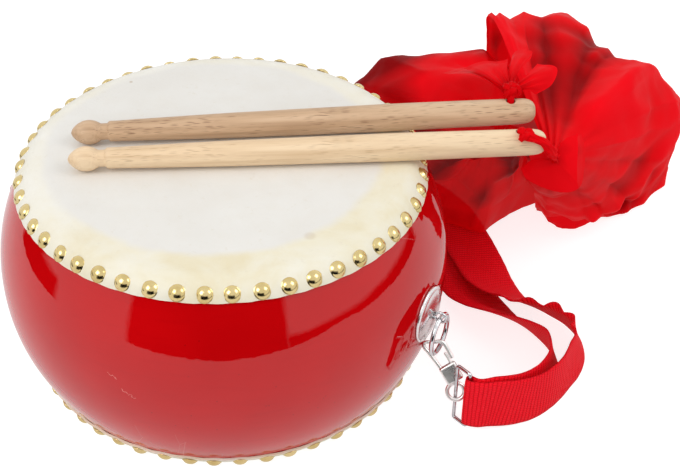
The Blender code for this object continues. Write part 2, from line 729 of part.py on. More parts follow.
def spread_stations(stations, spacing):
    """More stations on a smooth curve through the given ones."""
    spots = [spot for spot, _ in stations]
    widths = [width for _, width in stations]
    result = []
    for i in range(len(spots) - 1):
        a = spots[max(i - 1, 0)]
        b = spots[i]
        c = spots[i + 1]
        d = spots[min(i + 2, len(spots) - 1)]
        length = (c - b).length
        steps = max(1, round(length / spacing))
        before = max((b - a).length, 1e-6)
        after = max((d - c).length, 1e-6)
        start_slope = ((b - a) / before + (c - b) / length).normalized() * length
        end_slope = ((c - b) / length + (d - c) / after).normalized() * length
        for k in range(steps):
            t = k / steps
            spot = (
                b * (2 * t ** 3 - 3 * t * t + 1) + start_slope * (t ** 3 - 2 * t * t + t)
                + c * (3 * t * t - 2 * t ** 3) + end_slope * (t ** 3 - t * t)
            )
            result.append((spot, widths[i].lerp(widths[i + 1], t)))
    result.append(stations[-1])
    return result


def make_webbing():
    red = material("red_webbing", (0.62, 0.004, 0.012), 0.75)
    stations = spread_stations(webbing_route(), STATION_SPACING)
    bm = bmesh.new()
    sections = []
    for i, (spot, width) in enumerate(stations):
        ahead = stations[min(i + 1, len(stations) - 1)][0] - stations[max(i - 1, 0)][0]
        ahead.normalize()
        across = (width - width.dot(ahead) * ahead).normalized()
        face = ahead.cross(across)
        corners = []
        for w, t in ((-1, -1), (1, -1), (1, 1), (-1, 1)):
            corners.append(bm.verts.new(
                spot + across * WEBBING_WIDTH / 2 * w + face * WEBBING_THICKNESS / 2 * t
            ))
        sections.append(corners)
    for a, b in zip(sections, sections[1:]):
        for i in range(4):
            j = (i + 1) % 4
            bm.faces.new((a[i], a[j], b[j], b[i]))
    bm.faces.new(sections[0])
    bm.faces.new(sections[-1][::-1])
    link("strap_webbing", mesh_from(bm, "strap_webbing"), PARTS, red)
    length = sum((b[0] - a[0]).length for a, b in zip(stations, stations[1:]))
    print("webbing length", round(length, 3))


# Sticks
HEAD_REST = DRUM_HEIGHT + GAP
STICK_SLOPE = (STICK_RADIUS - BEAD_RADIUS) / (STICK_WIDEST - BEAD_LENGTH / 2)


def stick_point(tip, angle, along, rise=0.0):
    """Point on a stick's axis, a distance from the tip, or above it."""
    height = HEAD_REST + BEAD_RADIUS + (along - BEAD_LENGTH / 2) * STICK_SLOPE + rise
    return Vector((
        tip.x + along * math.cos(angle), tip.y + along * math.sin(angle), height,
    ))


def stick_profile():
    """Radii down the stick from the tip at the top to the butt at the bottom."""
    points = [(0.0, 0.0)]
    for i in range(1, 7):
        share = i / 7
        points.append((BEAD_RADIUS * math.sin(math.pi * share) ** 0.6, BEAD_LENGTH * share))
    points.append((NECK_RADIUS * 0.86, BEAD_LENGTH))
    points.append((NECK_RADIUS, BEAD_LENGTH + 2.5 * MM))
    points.append(((NECK_RADIUS + STICK_RADIUS) / 2 + 0.3 * MM, STICK_WIDEST * 0.5))
    points.append((STICK_RADIUS, STICK_WIDEST))
    points.append((BUTT_RADIUS, STICK_LENGTH - 3.0 * MM))
    points.append((BUTT_RADIUS * 0.82, STICK_LENGTH - 0.8 * MM))
    points.append((0.0, STICK_LENGTH))
    return [(radius, -along) for radius, along in points]


def make_stick(name, tip, angle, colour):
    wood = material("beech_" + name, colour, 0.45)
    start = stick_point(tip, angle, 0.0)
    end = stick_point(tip, angle, STICK_LENGTH)
    turn = (start - end).to_track_quat("Z", "Y").to_matrix().to_4x4()
    stick = turned(name, stick_profile(), 16, wood, Matrix.Translation(start) @ turn)
    hole = stick_point(tip, angle, STICK_LENGTH - CLOTH_HOLE_FROM_BUTT)
    up = Vector((0, 0, 2 * STICK_RADIUS))
    bore = cylinder(name + "_hole", hole - up, hole + up, CLOTH_HOLE_RADIUS, 12, None, CUTTERS)
    boolean(stick, bore, "DIFFERENCE")
    return hole


# Silk cloths: each row is a fold's crest and its hem, in millimetres
LOWER_NECK = Vector((171, 116, 134)) * MM
LOWER_FOLDS = [
    ((73, 266, 119), (58, 330, 4)), ((88, 279, 123), (84, 350, 4)),
    ((100, 289, 123), (112, 357, 4)), ((117, 311, 119), (142, 359, 4)),
    ((152, 284, 118), (172, 352, 4)), ((192, 272, 108), (200, 338, 4)),
    ((208, 281, 92), (213, 316, 4)), ((217, 280, 72), (217, 294, 4)),
    ((216, 262, 50), (210, 264, 4)), ((207, 232, 37), (202, 241, 4)),
    ((192, 206, 30), (191, 232, 4)), ((175, 196, 32), (168, 229, 4)),
    ((157, 186, 40), (145, 226, 4)),
]
UPPER_NECK = Vector((130, 137, 127)) * MM
UPPER_FOLDS = [
    ((118, 226, 104), (96, 290, 4)), ((102, 234, 110), (84, 306, 4)),
    ((80, 230, 116), (56, 312, 4)), ((56, 212, 117), (30, 302, 4)),
    ((36, 192, 112), (-4, 282, 4)), ((20, 170, 100), (-44, 246, 4)),
    ((24, 156, 86), (-50, 204, 9)), ((54, 152, 76), (8, 172, 9)),
    ((88, 152, 70), (64, 165, 9)), ((112, 154, 72), (98, 165, 9)),
    ((124, 163, 74), (116, 176, 9)), ((132, 171, 80), (128, 200, 9)),
    ((141, 178, 80), (140, 217, 6)),
]
SHEET_COLUMNS_PER_FOLD = 2
SHEET_ROWS = 8
PLEAT_DEPTH = 5.0 * MM
HUB_RADIUS = 10.0 * MM
SHEET_START = 8.0 * MM


def fold_curve(neck, crest, hem, share):
    """A point down one fold: from the neck over the crest to the hem."""
    start = (crest - neck) * 1.0
    middle = (hem - neck) * 0.5
    if share < 0.5:
        t = share * 2
        a, b, m, n = neck, crest, start, middle
    else:
        t = share * 2 - 1
        a, b, m, n = crest, hem, middle, (hem - crest) * 0.9
    return (
        a * (2 * t ** 3 - 3 * t * t + 1) + m * (t ** 3 - 2 * t * t + t)
        + b * (3 * t * t - 2 * t ** 3) + n * (t ** 3 - t * t)
    )


def sheet_grid(neck, folds, first_turn, last_turn):
    """Rows of points over the whole sheet, pleated between the folds.

    The sheet starts on a ring round the neck, between the two turns given
    in degrees: 0 is at its right, 90 on top and 180 at its left.
    """
    crests = [Vector(crest) * MM for crest, _ in folds]
    hems = [Vector(hem) * MM for _, hem in folds]
    ahead = sum(hems, Vector()) / len(hems) - neck
    ahead = Vector((ahead.x, ahead.y, 0.0)).normalized()
    right = Vector((ahead.y, -ahead.x, 0.0))
    up = Vector((0.0, 0.0, 1.0))
    columns = []
    count = (len(folds) - 1) * SHEET_COLUMNS_PER_FOLD
    for c in range(count + 1):
        place = c / SHEET_COLUMNS_PER_FOLD
        i = min(int(place), len(folds) - 2)
        t = place - i
        smooth = t * t * (3 - 2 * t)
        crest = crests[i].lerp(crests[i + 1], (t + smooth) / 2)
        hem = hems[i].lerp(hems[i + 1], (t + smooth) / 2)
        out = Vector((hem.x - neck.x, hem.y - neck.y, 0)).normalized()
        turn = math.radians(first_turn + (last_turn - first_turn) * c / count)
        ring = math.cos(turn) * right + math.sin(turn) * up
        start = neck + ahead * SHEET_START / 3 + ring * SHEET_START
        pleat = -PLEAT_DEPTH * math.sin(math.pi * t) ** 2
        column = []
        for r in range(SHEET_ROWS + 1):
            share = r / SHEET_ROWS
            spot = fold_curve(start, crest, hem, share)
            sink = pleat * math.sin(math.pi * min(1.0, share * 1.15) / 1.15)
            spot += (out * 0.8 + Vector((0, 0, 0.6))) * sink
            column.append(spot)
        columns.append(column)
    return columns


def make_cloth(name, columns, neck, hole, angle, colour):
    """A silk sheet fanned out from its neck, with its knot through the stick."""
    silk = material("silk_" + name, colour, 0.4)
    bm = bmesh.new()
    verts = [[bm.verts.new(spot) for spot in column] for column in columns]
    for left, right in zip(verts, verts[1:]):
        for r in range(SHEET_ROWS):
            bm.faces.new((left[r], right[r], right[r + 1], left[r + 1]))
    mesh = bpy.data.meshes.new(name)
    bm.to_mesh(mesh)
    bm.free()
    sheet = link(name, mesh, PARTS, silk)
    solid = sheet.modifiers.new("Thickness", "SOLIDIFY")
    solid.thickness = CLOTH_THICKNESS
    solid.offset = 0.0
    top = hole + Vector((0, 0, STICK_RADIUS + GAP + KNOT_RADIUS * KNOT_SQUASH))
    stem = as_mesh(tube(
        name + "_stem", [hole - Vector((0, 0, STICK_RADIUS)), hole, top],
        CLOTH_HOLE_RADIUS - GAP - 0.2 * MM, None, collection=CUTTERS,
    ))
    beside = Vector((-math.sin(angle), math.cos(angle), 0.0))
    over = top + beside * 10 * MM + Vector((0, 0, 3 * MM))
    down = top + beside * 18 * MM - Vector((0, 0, 7 * MM))
    twist = as_mesh(tube(
        name + "_twist", smooth_route([top, over, down, neck], 8 * MM), TWIST_RADIUS,
        None, collection=CUTTERS,
    ))
    bm = bmesh.new()
    bmesh.ops.create_uvsphere(bm, u_segments=10, v_segments=6, radius=KNOT_RADIUS)
    knot = link(name + "_knot", mesh_from(bm, name + "_knot"), CUTTERS)
    knot.matrix_world = Matrix.Translation(top) @ Matrix.Scale(KNOT_SQUASH, 4, Vector((0, 0, 1)))
    bm = bmesh.new()
    bmesh.ops.create_uvsphere(bm, u_segments=10, v_segments=6, radius=HUB_RADIUS)
    hub = link(name + "_hub", mesh_from(bm, name + "_hub"), CUTTERS)
    hub.matrix_world = Matrix.Translation(neck)
    for piece in (hub, twist, knot, stem):
        boolean(sheet, piece, "UNION")


SHELL = make_drum()
for side_name, side_matrix in (("near", Matrix()), ("far", FAR_TURN)):
    make_ring_set(side_name, side_matrix, SHELL)
    make_hook(side_name, side_matrix)
    make_strap_loop(side_name, side_matrix)
make_webbing()
UPPER_HOLE = make_stick("stick_upper", UPPER_TIP, UPPER_ANGLE, (0.44, 0.27, 0.13))
LOWER_HOLE = make_stick("stick_lower", LOWER_TIP, LOWER_ANGLE, (0.68, 0.48, 0.27))
UPPER_SHEET = sheet_grid(UPPER_NECK, UPPER_FOLDS, 40, 345)
LOWER_SHEET = sheet_grid(LOWER_NECK, LOWER_FOLDS, 210, -80)
make_cloth(
    "cloth_upper", UPPER_SHEET, UPPER_NECK, UPPER_HOLE, UPPER_ANGLE, (0.55, 0.0, 0.01),
)
make_cloth(
    "cloth_lower", LOWER_SHEET, LOWER_NECK, LOWER_HOLE, LOWER_ANGLE, (0.60, 0.0, 0.015),
)
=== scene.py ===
"""Waist drum: detailed pieces, materials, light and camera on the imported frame."""
import random
from math import acos, asin, cos, exp, pi, radians, sin, sqrt

import bmesh
import bpy
from mathutils import Matrix, Vector, noise


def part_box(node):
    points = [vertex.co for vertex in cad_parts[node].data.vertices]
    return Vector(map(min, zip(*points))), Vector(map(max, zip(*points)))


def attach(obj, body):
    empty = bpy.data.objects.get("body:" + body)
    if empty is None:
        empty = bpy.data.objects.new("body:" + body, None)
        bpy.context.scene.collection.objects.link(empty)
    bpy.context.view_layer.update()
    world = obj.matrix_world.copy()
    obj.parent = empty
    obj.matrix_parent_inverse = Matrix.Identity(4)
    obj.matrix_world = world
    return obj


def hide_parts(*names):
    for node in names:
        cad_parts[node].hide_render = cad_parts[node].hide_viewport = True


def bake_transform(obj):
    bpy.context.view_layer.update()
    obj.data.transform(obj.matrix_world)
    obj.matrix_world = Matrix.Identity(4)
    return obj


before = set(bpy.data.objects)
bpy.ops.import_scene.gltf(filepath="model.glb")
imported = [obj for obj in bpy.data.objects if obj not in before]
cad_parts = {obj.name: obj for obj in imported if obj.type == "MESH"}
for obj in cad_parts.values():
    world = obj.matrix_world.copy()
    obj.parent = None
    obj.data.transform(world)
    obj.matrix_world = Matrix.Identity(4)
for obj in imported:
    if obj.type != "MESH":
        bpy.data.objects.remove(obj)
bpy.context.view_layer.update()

MM = 0.001
UP = Vector((0.0, 0.0, 1.0))
SCENE = bpy.context.scene

# Sizes that the drum's pieces share, as in the part's source
DRUM_HEIGHT = 143.0 * MM
MID = DRUM_HEIGHT / 2
SKIN_THICKNESS = 1.0 * MM
BELLY_RADIUS = 140.2 * MM
BELLY_POWER = 2.1
SKIRT_RADIUS = 125.0 * MM
SKIRT_DEPTH = 10.0 * MM
MOUTH_RADIUS = 106.0 * MM
INNER_SWELL = 22.2 * MM
PIN_HOLE_RADIUS = 2.5 * MM
EDGE_ROUND = 16.0 * MM
GAP = 0.3 * MM
TACKS = 50
TACK_ABOVE_SKIRT = 4.2 * MM
SKIRT_HALF = MID - SKIRT_DEPTH
EDGE_HEIGHT = MID - EDGE_ROUND
SKIRT_ANGLE = acos((SKIRT_HALF - EDGE_HEIGHT) / EDGE_ROUND)
EDGE_RADIUS = SKIRT_RADIUS - EDGE_ROUND * sin(SKIRT_ANGLE)
SHELL_ROUND = EDGE_ROUND - SKIN_THICKNESS - GAP
SHELL_END_RADIUS = EDGE_RADIUS + SHELL_ROUND * sin(SKIRT_ANGLE)
SHELL_END_HEIGHT = EDGE_HEIGHT + SHELL_ROUND * cos(SKIRT_ANGLE)
TACK_ANGLE = acos((SKIRT_HALF + TACK_ABOVE_SKIRT - EDGE_HEIGHT) / EDGE_ROUND)
FAR_TURN = Matrix.Rotation(pi, 4, "Z")
SIDES = {"near": Matrix(), "far": FAR_TURN}

# Camera, solved from the drum's two rims, in metres and the picture's pixels
VIEW_TURN, VIEW_HEIGHT, VIEW_ROLL = (radians(angle) for angle in (25.2, 38.20, 1.116))
VIEW_DISTANCE, VIEW_RIGHT, VIEW_UP = 0.865, 0.0724, 0.0066
FOCAL_PIXELS, IMAGE_WIDTH, SENSOR_WIDTH = 1355.03, 680, 36.0
TO_VIEWER = Matrix.Rotation(VIEW_TURN, 4, "Z")


def add_object(name, data, matrix=None):
    made = bpy.data.objects.new(name, data)
    SCENE.collection.objects.link(made)
    if matrix is not None:
        made.matrix_world = matrix
    return made


def make_camera():
    """The photograph's camera: its height angle, roll and turn round the drum."""
    back = Vector((0, -cos(VIEW_HEIGHT), sin(VIEW_HEIGHT)))
    right = Vector((1, 0, 0))
    up = Vector((0, sin(VIEW_HEIGHT), cos(VIEW_HEIGHT)))
    x = cos(VIEW_ROLL) * right + sin(VIEW_ROLL) * up
    y = -sin(VIEW_ROLL) * right + cos(VIEW_ROLL) * up
    place = Matrix((x, y, back)).transposed().to_4x4()
    place.translation = back * VIEW_DISTANCE + x * VIEW_RIGHT + y * VIEW_UP
    data = bpy.data.cameras.new("camera")
    data.sensor_width = SENSOR_WIDTH
    data.lens = SENSOR_WIDTH * FOCAL_PIXELS / IMAGE_WIDTH
    data.clip_start = 0.01
    SCENE.camera = add_object("camera", data, Matrix.Translation((0, 0, MID)) @ TO_VIEWER @ place)


make_camera()


# Material helpers
class Nodes:
    """Short calls for the nodes of one tree."""

    def __init__(self, tree):
        self.tree = tree

    def put(self, socket, value):
        """Link a node or socket to a socket, or write a plain value on it."""
        if isinstance(value, bpy.types.Node):
            value = value.outputs[0]
        if isinstance(value, bpy.types.NodeSocket):
            self.tree.links.new(value, socket)
        else:
            socket.default_value = value

    def node(self, kind, inputs=None, **settings):
        made = self.tree.nodes.new("ShaderNode" + kind)
        for key, value in settings.items():
            setattr(made, key, value)
        for key, value in (inputs or {}).items():
            self.put(made.inputs[key], value)
        return made

    def math(self, operation, *values, clamp=False):
        made = self.node("Math", operation=operation, use_clamp=clamp)
        for socket, value in zip(made.inputs, values):
            self.put(socket, value)
        return made

    def times(self, first, *others):
        for other in others:
            first = self.math("MULTIPLY", first, other)
        return first

    def vector(self, operation, a, b=(0, 0, 0)):
        """Vector arithmetic, whose result is a vector only for a difference."""
        made = self.node("VectorMath", {0: a, 1: b}, operation=operation)
        return made.outputs["Vector" if operation == "SUBTRACT" else "Value"]


class Look(Nodes):
    """A node material whose colour is laid down in stains."""

    def __init__(self, name, **values):
        """Values are for the shader's own sockets; underscores stand for spaces."""
        self.material = bpy.data.materials.new(name)
        self.material.use_nodes = True
        super().__init__(self.material.node_tree)
        self.shader = self.tree.nodes["Principled BSDF"]
        self.colour = None
        for key, value in values.items():
            self.shader.inputs[key.replace("_", " ")].default_value = value

    def place(self, scale=(1, 1, 1), turn=(0, 0, 0), shift=(0, 0, 0)):
        """The piece's own coordinates, scaled, turned and shifted."""
        return self.node("Mapping", {
            "Vector": self.node("TexCoord").outputs["Object"], "Scale": scale,
            "Rotation": turn, "Location": shift,
        })

    def noise(self, at, scale, detail, roughness=0.55, distortion=0.0):
        return self.node("TexNoise", {
            "Vector": at, "Scale": scale, "Detail": detail, "Roughness": roughness,
            "Distortion": distortion,
        }).outputs["Fac"]

    def cells(self, at, scale, feature="F1"):
        """Distance to the nearest cell's middle, or to the nearest edge between cells."""
        made = self.node("TexVoronoi", {"Vector": at, "Scale": scale}, feature=feature)
        return made.outputs["Distance"]

    def ramp(self, fac, *stops):
        made = self.node("ValToRGB", {"Fac": fac})
        elements = made.color_ramp.elements
        while len(elements) < len(stops):
            elements.new(0.5)
        for element, (position, colour) in zip(elements, stops):
            element.position = position
            element.color = (*colour, 1.0)
        return made.outputs["Color"]

    def mix(self, fac, a, b):
        made = self.node("Mix", data_type="RGBA")
        for index, value in ((0, fac), (6, a), (7, b)):
            self.put(made.inputs[index], (*value, 1.0) if isinstance(value, tuple) else value)
        return made.outputs[2]

    def span(self, value, low, high, to_low=0.0, to_high=1.0, smooth=False):
        """A value from low to high, spread from to_low to to_high."""
        made = self.node("MapRange", interpolation_type="SMOOTHSTEP" if smooth else "LINEAR")
        for socket, number in zip(made.inputs, (value, low, high, to_low, to_high)):
            self.put(socket, number)
        return made.outputs["Result"]

    def patches(self, at, scale, detail, *limits, roughness=0.55):
        """Noise whose values are spread between limits, as in span."""
        return self.span(self.noise(at, scale, detail, roughness), *limits)

    def drift(self, at, scale, detail, dark, light, roughness=0.55):
        """Start the colour as a slow drift between two tones."""
        tone = self.noise(at, scale, detail, roughness)
        self.colour = self.ramp(tone, (0.3, dark), (0.7, light))

    def stain(self, fac, colour):
        """Lay a colour over the colour so far."""
        self.colour = self.mix(fac, self.colour, colour)

    def bump(self, height, distance, strength, under=None):
        made = self.node("Bump", {"Height": height, "Distance": distance, "Strength": strength})
        if under is not None:
            self.put(made.inputs["Normal"], under)
        return made.outputs["Normal"]

    def finish(self, roughness, normal):
        self.put(self.shader.inputs["Base Color"], self.colour)
        self.put(self.shader.inputs["Roughness"], roughness)
        self.put(self.shader.inputs["Normal"], normal)
        return self.material

    def surface(self, shader):
        """Show another shader in place of the plain one."""
        output = next(node for node in self.tree.nodes if node.type == "OUTPUT_MATERIAL")
        self.put(output.inputs["Surface"], shader)
        return self.material


# Materials
def lacquer_look():
    """Glossy red lacquer over wood, a little uneven, with hair scratches."""
    look = Look("red_lacquer", Coat_Weight=1.0, Coat_Roughness=0.03, Coat_IOR=1.48,
                Specular_IOR_Level=0.0)
    at = look.place()
    look.drift(at, 14.0, 2.0, (0.520, 0.0010, 0.0026), (0.600, 0.0016, 0.0034))
    grain = look.patches(look.place((1, 1, 9)), 30.0, 4.0, 0.52, 0.75, 0.0, 0.22, roughness=0.6)
    look.stain(grain, (0.44, 0.001, 0.003))
    speck = look.math("LESS_THAN", look.cells(at, 170.0), 0.07)
    picked = look.math("GREATER_THAN", look.noise(at, 9.0, 1.0), 0.60)
    look.stain(look.times(speck, picked), (0.36, 0.002, 0.003))
    cracks = look.cells(look.place((22, 22, 3), (0.5, 0.2, 0.3)), 2.2, "DISTANCE_TO_EDGE")
    rare = look.math("GREATER_THAN", look.noise(at, 22.0, 1.0), 0.66)
    scratch = look.times(look.math("LESS_THAN", cracks, 0.006), rare)
    look.stain(look.times(scratch, 0.3), (0.72, 0.14, 0.13))
    wave = look.patches(at, 420.0, 1.0, 0.2, 0.8, -1.6 * MM, 1.6 * MM)
    # Two light scratches: middle, tilt and half length
    for x, y, z, tilt, half in ((6.4, -139.6, 82.0, 0.34, 3.4), (16.0, -139.2, 71.5, 0.43, 5.0)):
        offset = look.vector("SUBTRACT", at, (x * MM, y * MM, z * MM))
        aside = look.math("ADD", look.vector("DOT_PRODUCT", offset, (tilt, 0.0, 0.92)), wave)
        narrow = look.math("LESS_THAN", look.math("ABSOLUTE", aside), 0.24 * MM)
        within = look.math("LESS_THAN", look.vector("LENGTH", offset), half * MM)
        look.stain(look.times(narrow, within, 0.7), (0.84, 0.34, 0.30))
    rough = look.patches(at, 60.0, 3.0, 0.35, 0.7, 0.18, 0.30)
    waves = look.bump(look.noise(at, 20.0, 2.0), 0.0009, 0.30)
    fine = look.bump(look.noise(at, 210.0, 2.0), 0.00006, 0.5, waves)
    look.put(look.shader.inputs["Coat Normal"], look.bump(scratch, -0.00005, 0.6, fine))
    return look.finish(rough, fine)


def skin_look():
    """Stretched hide: a white coated middle and a bare cream rim."""
    look = Look("drum_skin", Specular_IOR_Level=0.35, Sheen_Weight=0.06)
    at = look.place()
    reach = look.vector("LENGTH", look.place((1, 1, 0), shift=(0.0078, -0.0024, 0.0)))
    edge = look.math("ADD", reach, look.patches(at, 28.0, 3.0, 0.3, 0.7, -0.0022, 0.0022))
    look.drift(at, 17.0, 4.0, (0.775, 0.752, 0.705), (0.825, 0.810, 0.772), roughness=0.6)
    mottle = look.noise(at, 75.0, 4.0, 0.65)
    look.stain(look.span(mottle, 0.45, 0.72, 0.0, 0.35), (0.775, 0.740, 0.675))
    hide = look.noise(at, 23.0, 5.0, 0.62, 0.4)
    cream = look.ramp(hide, (0.32, (0.790, 0.705, 0.490)), (0.5, (0.835, 0.780, 0.615)),
                      (0.72, (0.865, 0.840, 0.745)))
    paler = look.ramp(hide, (0.32, (0.830, 0.790, 0.680)), (0.5, (0.865, 0.840, 0.760)),
                      (0.72, (0.890, 0.880, 0.840)))
    toward = look.vector("DOT_PRODUCT", at, (0.884, -0.468, 0.0))
    bare = look.mix(look.span(toward, -0.10, 0.09, smooth=True), paler, cream)
    look.stain(look.span(edge, 0.0985, 0.1060, smooth=True), bare)
    worn = look.patches(at, 240.0, 3.0, 0.62, 0.80, 0.0, 0.35, roughness=0.7)
    look.stain(worn, (0.66, 0.59, 0.46))
    for x, y, size, depth in ((-94.9, 46.1, 1.5, 0.45), (82.9, -46.1, 4.5, 0.22)):
        away = look.vector("DISTANCE", at, (x * MM, y * MM, DRUM_HEIGHT))
        spot = look.span(away, size * 0.4 * MM, size * MM, depth, 0.0, smooth=True)
        look.stain(spot, (0.42, 0.27, 0.12))
    height = look.vector("DOT_PRODUCT", at, (0.0, 0.0, 1.0))
    look.stain(look.span(height, 0.0, 0.020, 0.30, 0.0), (0.72, 0.62, 0.44))
    weave, cross = (look.noise(look.place(scale, (0, 0, 0.6)), 620.0, 2.0, 0.5)
                    for scale in ((1.0, 0.55, 1.0), (0.55, 1.0, 1.0)))
    fibre = look.bump(look.math("ADD", weave, cross), 0.00012, 0.5)
    swell = look.bump(mottle, 0.0004, 0.35, fibre)
    return look.finish(look.patches(at, 120.0, 3.0, 0.3, 0.7, 0.42, 0.58), swell)


def brass_look():
    look = Look("tack_brass", Metallic=1.0)
    at = look.place()
    look.drift(at, 85.0, 3.0, (0.620, 0.470, 0.190), (0.780, 0.630, 0.320))
    look.stain(look.patches(at, 900.0, 2.0, 0.66, 0.78, 0.0, 0.6), (0.40, 0.28, 0.11))
    rough = look.patches(at, 340.0, 3.0, 0.3, 0.75, 0.14, 0.24)
    return look.finish(rough, look.bump(look.noise(at, 420.0, 2.0), 0.00006, 0.30))


def metal_look(name, dark, light, rough_low, rough_high, dent=0.00004, grain=(1, 1, 1)):
    """Plated metal with drifting tone, fine pits and finger marks."""
    look = Look(name, Metallic=1.0)
    at = look.place()
    look.drift(look.place(grain), 190.0, 4.0, dark, light, roughness=0.6)
    pits = look.patches(at, 1500.0, 2.0, 0.66, 0.76, 0.0, 0.55)
    look.stain(pits, tuple(value * 0.45 for value in dark))
    rough = look.patches(at, 75.0, 3.0, 0.35, 0.7, rough_low, rough_high)
    return look.finish(rough, look.bump(look.noise(at, 620.0, 3.0), dent, 0.4))


def wood_look(name, pale, mid, dark, fleck, strength):
    """Turned beech: grain and ray flecks along the stick's own Z axis."""
    look = Look(name, Specular_IOR_Level=0.35)
    rings = look.noise(look.place((1.0, 1.0, 0.055), (0.02, 0.015, 0)), 190.0, 3.0, 0.55, 0.25)
    look.colour = look.ramp(rings, (0.30, dark), (0.5, mid), (0.68, pale))
    look.stain(look.patches(look.place((1, 1, 0.25)), 22.0, 2.0, 0.35, 0.7, 0.0, 0.45), mid)
    dash = look.span(look.cells(look.place((1.0, 1.0, 0.075)), 1350.0), 0.16, 0.36, 1.0, 0.0)
    where = look.patches(look.place((1, 1, 0.30)), 90.0, 3.0, 0.42, 0.56)
    look.stain(look.times(dash, where, strength), fleck)
    pores = look.noise(look.place((1.0, 1.0, 0.035)), 1500.0, 2.0)
    look.stain(look.span(pores, 0.58, 0.74, 0.0, 0.42), dark)
    smudge = look.patches(look.place(), 34.0, 3.0, 0.60, 0.78, 0.0, 0.30)
    look.stain(smudge, tuple(value * 0.55 for value in mid))
    return look.finish(look.span(rings, 0.3, 0.7, 0.40, 0.56), look.bump(pores, 0.00010, 0.45))


RIB_PITCH, LUMP_PITCH = 2.45 * MM, 1.90 * MM


def webbing_look():
    """Woven tape: rows of short ribs, alternate columns half a step apart, with painted shade in
    the grooves between the ribs.
    """
    look = Look("red_webbing", Specular_IOR_Level=0.10)
    uv = look.node("TexCoord").outputs["UV"]
    split = look.node("SeparateXYZ", {"Vector": uv})
    jitter = look.patches(uv, 60.0, 2.0, 0.3, 0.7, -0.00020, 0.00020)
    row = look.math("DIVIDE", look.math("ADD", split.outputs[0], jitter), RIB_PITCH)
    odd = look.math("MODULO", look.math("FLOOR", row), 2.0)
    column = look.math("DIVIDE", split.outputs[1], LUMP_PITCH)
    column = look.math("ADD", column, look.times(odd, 0.5))

    def ridge(steps):
        """A rounded ridge at each step."""
        wave = look.math("ABSOLUTE", look.math("SINE", look.times(steps, pi)))
        return look.math("POWER", wave, 0.7)

    weave = look.times(ridge(row), look.math("ADD", look.times(ridge(column), 0.75), 0.25))
    along = look.node("Mapping", {"Vector": uv, "Scale": (1.0, 0.3, 1.0)})
    thread = look.noise(along, 4200.0, 2.0)
    look.drift(uv, 26.0, 3.0, (0.960, 0.0050, 0.0150), (1.000, 0.0090, 0.0240))
    # Painted shade: the grooves between the ribs are coloured darker than the ribs
    painted_groove_shade = look.span(weave, 0.05, 0.55)
    look.colour = look.mix(painted_groove_shade, (0.620, 0.0014, 0.0050), look.colour)
    look.stain(look.span(thread, 0.55, 0.8, 0.0, 0.3), (0.96, 0.025, 0.040))
    look.stain(look.patches(uv, 900.0, 2.0, 0.66, 0.80, 0.0, 0.35), (0.96, 0.06, 0.07))
    normal = look.bump(weave, 0.00050, 0.90, look.bump(thread, 0.00012, 0.4))
    return look.finish(look.span(weave, 0.0, 1.0, 0.85, 0.55), normal)


def silk_look(name, deep, bright, thin=0.0, through_share=0.20):
    """Thin satin: light comes through it; its folds get painted shade in their hollows and a
    painted highlight on their ridges.
    """
    look = Look(name, Specular_IOR_Level=0.03, Anisotropic=0.4, Alpha=1.0 - thin)
    at = look.place()
    look.drift(at, 18.0, 3.0, deep, bright)
    threads = look.noise(look.place((1.0, 0.12, 1.0), (0.3, 0.2, 0.5)), 1300.0, 2.0)
    look.stain(look.span(threads, 0.55, 0.75, 0.0, 0.25), bright)
    fold = look.node("Attribute", attribute_name="fold").outputs["Fac"]
    # Painted shade: the hollows of the folds are coloured deeper red, from the fold attribute
    hollow = look.math("MULTIPLY", fold, -1.0, clamp=True)
    look.stain(look.times(hollow, 0.95), tuple(value * 0.30 for value in deep))
    # Painted highlight: the ridges of the folds are coloured brighter red, from the fold attribute
    look.stain(look.math("MULTIPLY", fold, 0.8, clamp=True), (1.0, 0.004, 0.012))
    puckers = look.bump(look.noise(at, 95.0, 4.0, 0.6), 0.0008, 0.22)
    normal = look.bump(threads, 0.00006, 0.5, puckers)
    look.finish(look.patches(at, 46.0, 3.0, 0.3, 0.7, 0.42, 0.56), normal)
    through = look.node("BsdfTranslucent", {
        "Normal": normal, "Color": look.mix(0.35, look.colour, (1.0, 0.004, 0.010)),
    })
    return look.surface(look.node("MixShader", {0: through_share, 1: look.shader, 2: through}))


LACQUER = lacquer_look()
SKIN = skin_look()
BRASS = brass_look()
CHROME = metal_look("chrome", (0.58, 0.58, 0.60), (0.78, 0.78, 0.80), 0.05, 0.16)
PLATE = metal_look("plate_chrome", (0.74, 0.73, 0.72), (0.88, 0.87, 0.87), 0.17, 0.27, 0.00003)
CAST = metal_look("cast_zinc", (0.76, 0.73, 0.71), (0.92, 0.90, 0.88), 0.24, 0.36, 0.00008)
STEEL = metal_look("plated_steel", (0.45, 0.45, 0.47), (0.66, 0.66, 0.68), 0.14, 0.30,
                   0.00005, (1, 1, 0.2))
WIRE = metal_look("loop_steel", (0.42, 0.42, 0.44), (0.74, 0.74, 0.76), 0.08, 0.20)
WEBBING = webbing_look()
BEECH_DARK = wood_look("beech_dark", (0.730, 0.525, 0.350), (0.630, 0.425, 0.265),
                       (0.430, 0.262, 0.150), (0.190, 0.085, 0.040), 0.80)
BEECH_PALE = wood_look("beech_pale", (0.920, 0.720, 0.490), (0.850, 0.635, 0.410),
                       (0.690, 0.470, 0.270), (0.330, 0.160, 0.060), 0.45)
SILK_UPPER = silk_look("silk_upper", (0.740, 0.0012, 0.0040), (0.940, 0.0030, 0.0090), 0.012)
SILK_LOWER = silk_look("silk_lower", (0.800, 0.0012, 0.0045), (0.960, 0.0030, 0.0090))
THREAD = silk_look("sewing_thread", (0.55, 0.0010, 0.0040), (0.72, 0.0040, 0.0120), 0.0, 0.0)


